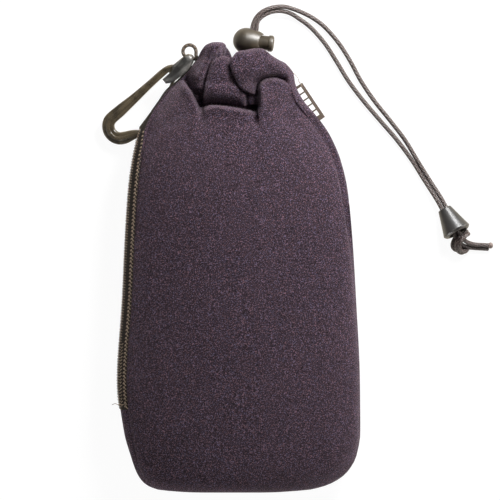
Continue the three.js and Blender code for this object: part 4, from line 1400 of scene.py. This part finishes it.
head_outline = [(10.5, -1.4), (10.5, 1.2), (8, 2.4), (-1.2, 2.2), (-2.6, 1.6), (-3.35, 0.8), (-3.6, 0)]
head_outline += [(-3.3, -1), (-2.7, -1.7), (-1.6, -2.1), (7, -2.1)]
head = outline_solid("hook_head", head_outline, head_thickness)
soften(head, 0.35, 2, 30)
bpy.ops.object.select_all(action="DESELECT")
bpy.ops.mesh.primitive_torus_add(
    major_radius=ring_radius * mm,
    minor_radius=eye_hole_radius * mm,
    major_segments=48,
    minor_segments=16,
    location=(0, 0, 0),
)
eye_cutter = bpy.context.object
eye_cutter.matrix_world = hook_frame.inverted() @ Matrix.Translation(ring_centre * mm)
cut(head, eye_cutter)
smooth_by_angle(head, 38)
select_only(hook)
head.select_set(True)
rib.select_set(True)
bpy.ops.object.join()
hook.matrix_world = hook_frame
settle(hook)
hook_finish = moulded_finish("hook plastic", eye(50, 42, 30), eye(94, 82, 61), 0.28)
hook_finish.on(hook)
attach(hook, "hook")
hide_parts("hook_body")


# The hook's cuff.
# A glossy plastic cover folded over the head, open along the spine's side. It holds the root of the gate.
def pick_faces(piece, wanted):
    """Selects the faces that wanted is true for, in edit mode's face select."""
    select_only(piece)
    edit_all()
    bpy.ops.mesh.select_mode(type="FACE")
    bpy.ops.mesh.select_all(action="DESELECT")
    bpy.ops.object.mode_set(mode="OBJECT")
    for face in piece.data.polygons:
        face.select = wanted(face)
    bpy.ops.object.mode_set(mode="EDIT")


cuff_outline = [(-1, -1.5), (6.6, -2), (8, -0.1), (15, 0.2), (15, 2.9), (13.4, 3.9), (11.2, 4.6), (8, 4.7)]
cuff_outline += [(4.4, 4.9), (1.4, 4.4), (-1.6, 3.2), (-2.9, 2.3), (-3.6, 1.2), (-3.7, 0.2), (-3.3, -0.7)]
cuff_outline += [(-2.4, -1.3)]
cuff_thickness = 5.8
hollow_thickness = 4.2
crown_width = 0.6
crown_rises = (0.5, 0.3, 0.18, 0.08)
cuff = outline_solid("hook_cuff_cover", cuff_outline, cuff_thickness)
pick_faces(cuff, lambda face: abs(face.center.z) > (cuff_thickness / 2 - 0.1) * mm)
for rise in crown_rises:
    bpy.ops.mesh.inset(thickness=crown_width * mm, depth=rise * mm)
bpy.ops.object.mode_set(mode="OBJECT")
soften(cuff, 0.3, 3, 12)
hollow = [(-8, -8), (20, -8), (20, 8), (9.6, 8), (9.6, 2.6), (3, 2.6), (1.2, 8), (-8, 8)]
cut(cuff, outline_solid("cuff_hollow", hollow, hollow_thickness))
smooth_by_angle(cuff, 62)
cuff.matrix_world = hook_frame
settle(cuff)
cuff_finish = moulded_finish("cuff plastic", eye(62, 61, 60), eye(112, 110, 107), 0.24, 0.5)
cuff_finish.on(cuff)
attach(cuff, "hook")
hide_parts("hook_cuff")


# The hook's gate.
# A thin springy leaf of plastic. Its round root turns in the cuff, and its tip rests inside the nose.
gate_outline = [(11.2, 2.95), (14.5, 4.9), (28, 8.5), (39.6, 11.4), (40.3, 12), (40.3, 12.7), (39.8, 13.1)]
gate_outline += [(38.6, 13), (28, 10.2), (14.5, 6.3), (11.2, 4.65), (10.3, 4.2), (10.2, 3.5)]
gate_width = 3.6
gate = outline_solid("hook_gate_leaf", gate_outline, gate_width)
soften(gate, 0.35, 2, 30)
smooth_by_angle(gate, 38)
gate.matrix_world = hook_frame
settle(gate)
hook_finish.on(gate)
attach(gate, "gate")
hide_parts("hook_gate")


# The light and the table.
# A pale table in a bright room whose walls light the object from low down. A small soft box stands close over
# the mouth, so that it is lit more than the base. A fainter one hangs high behind it, and three stand low.
table_size = 6
table_level = -0.2 * mm
table_glow = 0.88

bpy.ops.object.select_all(action="DESELECT")
bpy.ops.mesh.primitive_plane_add(size=table_size, location=(0, 0, table_level))
table = bpy.context.object
table.name = "table"
table_finish = Finish("table", Roughness=0.9, Specular_IOR_Level=0.1)
table_finish.colour(table_finish.mix(table_finish.grain(3, 1), eye(250, 250, 250), eye(252, 252, 252)))
light_path = table_finish.node("ShaderNodeLightPath", {}, {}, "Is Camera Ray")
glossy_path = table_finish.node("ShaderNodeLightPath", {}, {}, "Is Glossy Ray")
glow = light_path.above(glossy_path)
tint = table_finish.mix(glossy_path, (1.07, 1.07, 1.07, 1), (0.95, 0.85, 0.68, 1))
emission = table_finish.node("ShaderNodeEmission", {}, {"Color": tint, "Strength": 1})
matt = Wire(table_finish, table_finish.shader.outputs[0])
blend = table_finish.node("ShaderNodeMixShader", {}, {0: glow * table_glow, 1: matt, 2: emission})
output = table_finish.tree.nodes["Material Output"]
table_finish.feed(output.inputs["Surface"], blend)
table_finish.on(table)

# Each lamp: its place, size and watts
lamps = (
    ((0.2, 0.36, 0.25), 0.22, 3.9),
    ((-0.5, 0.9, 1), 0.4, 0.5),
    ((0.7, 0.05, 0.08), 0.4, 1.9),
    ((0, -0.7, 0.06), 0.4, 2.6),
    ((-0.7, -0.25, 0.05), 0.4, 0.9),
)
for place, size, energy in lamps:
    bpy.ops.object.light_add(type="AREA", location=place)
    lamp = bpy.context.object
    lamp.data.shape = "DISK"
    lamp.data.size = size
    lamp.data.energy = energy
    lamp.rotation_euler = Vector(place).to_track_quat("Z", "Y").to_euler()

world = bpy.context.scene.world or bpy.data.worlds.new("studio")
bpy.context.scene.world = world
world.use_nodes = True
background = world.node_tree.nodes["Background"]
background.inputs["Color"].default_value = (1, 1, 1, 1)
room = world.node_tree.nodes.new("ShaderNodeLightPath")
direction = world.node_tree.nodes.new("ShaderNodeTexCoord")
rise = world.node_tree.nodes.new("ShaderNodeSeparateXYZ")
world.node_tree.links.new(direction.outputs["Generated"], rise.inputs[0])
walls = world.node_tree.nodes.new("ShaderNodeMapRange")
world.node_tree.links.new(rise.outputs["Z"], walls.inputs["Value"])
wall_light, ceiling_light = 1.7, 0.07
for socket, value in (("From Min", 0), ("From Max", 0.35), ("To Min", wall_light), ("To Max", ceiling_light)):
    walls.inputs[socket].default_value = value
strength = walls.outputs["Result"]
for ray, brightness in (("Is Glossy Ray", 0.2), ("Is Transmission Ray", 1), ("Is Camera Ray", 1)):
    level = world.node_tree.nodes.new("ShaderNodeMix")
    world.node_tree.links.new(room.outputs[ray], level.inputs["Factor"])
    world.node_tree.links.new(strength, level.inputs["A"])
    level.inputs["B"].default_value = brightness
    strength = level.outputs["Result"]
world.node_tree.links.new(strength, background.inputs["Strength"])
bpy.context.scene.view_settings.view_transform = "Standard"
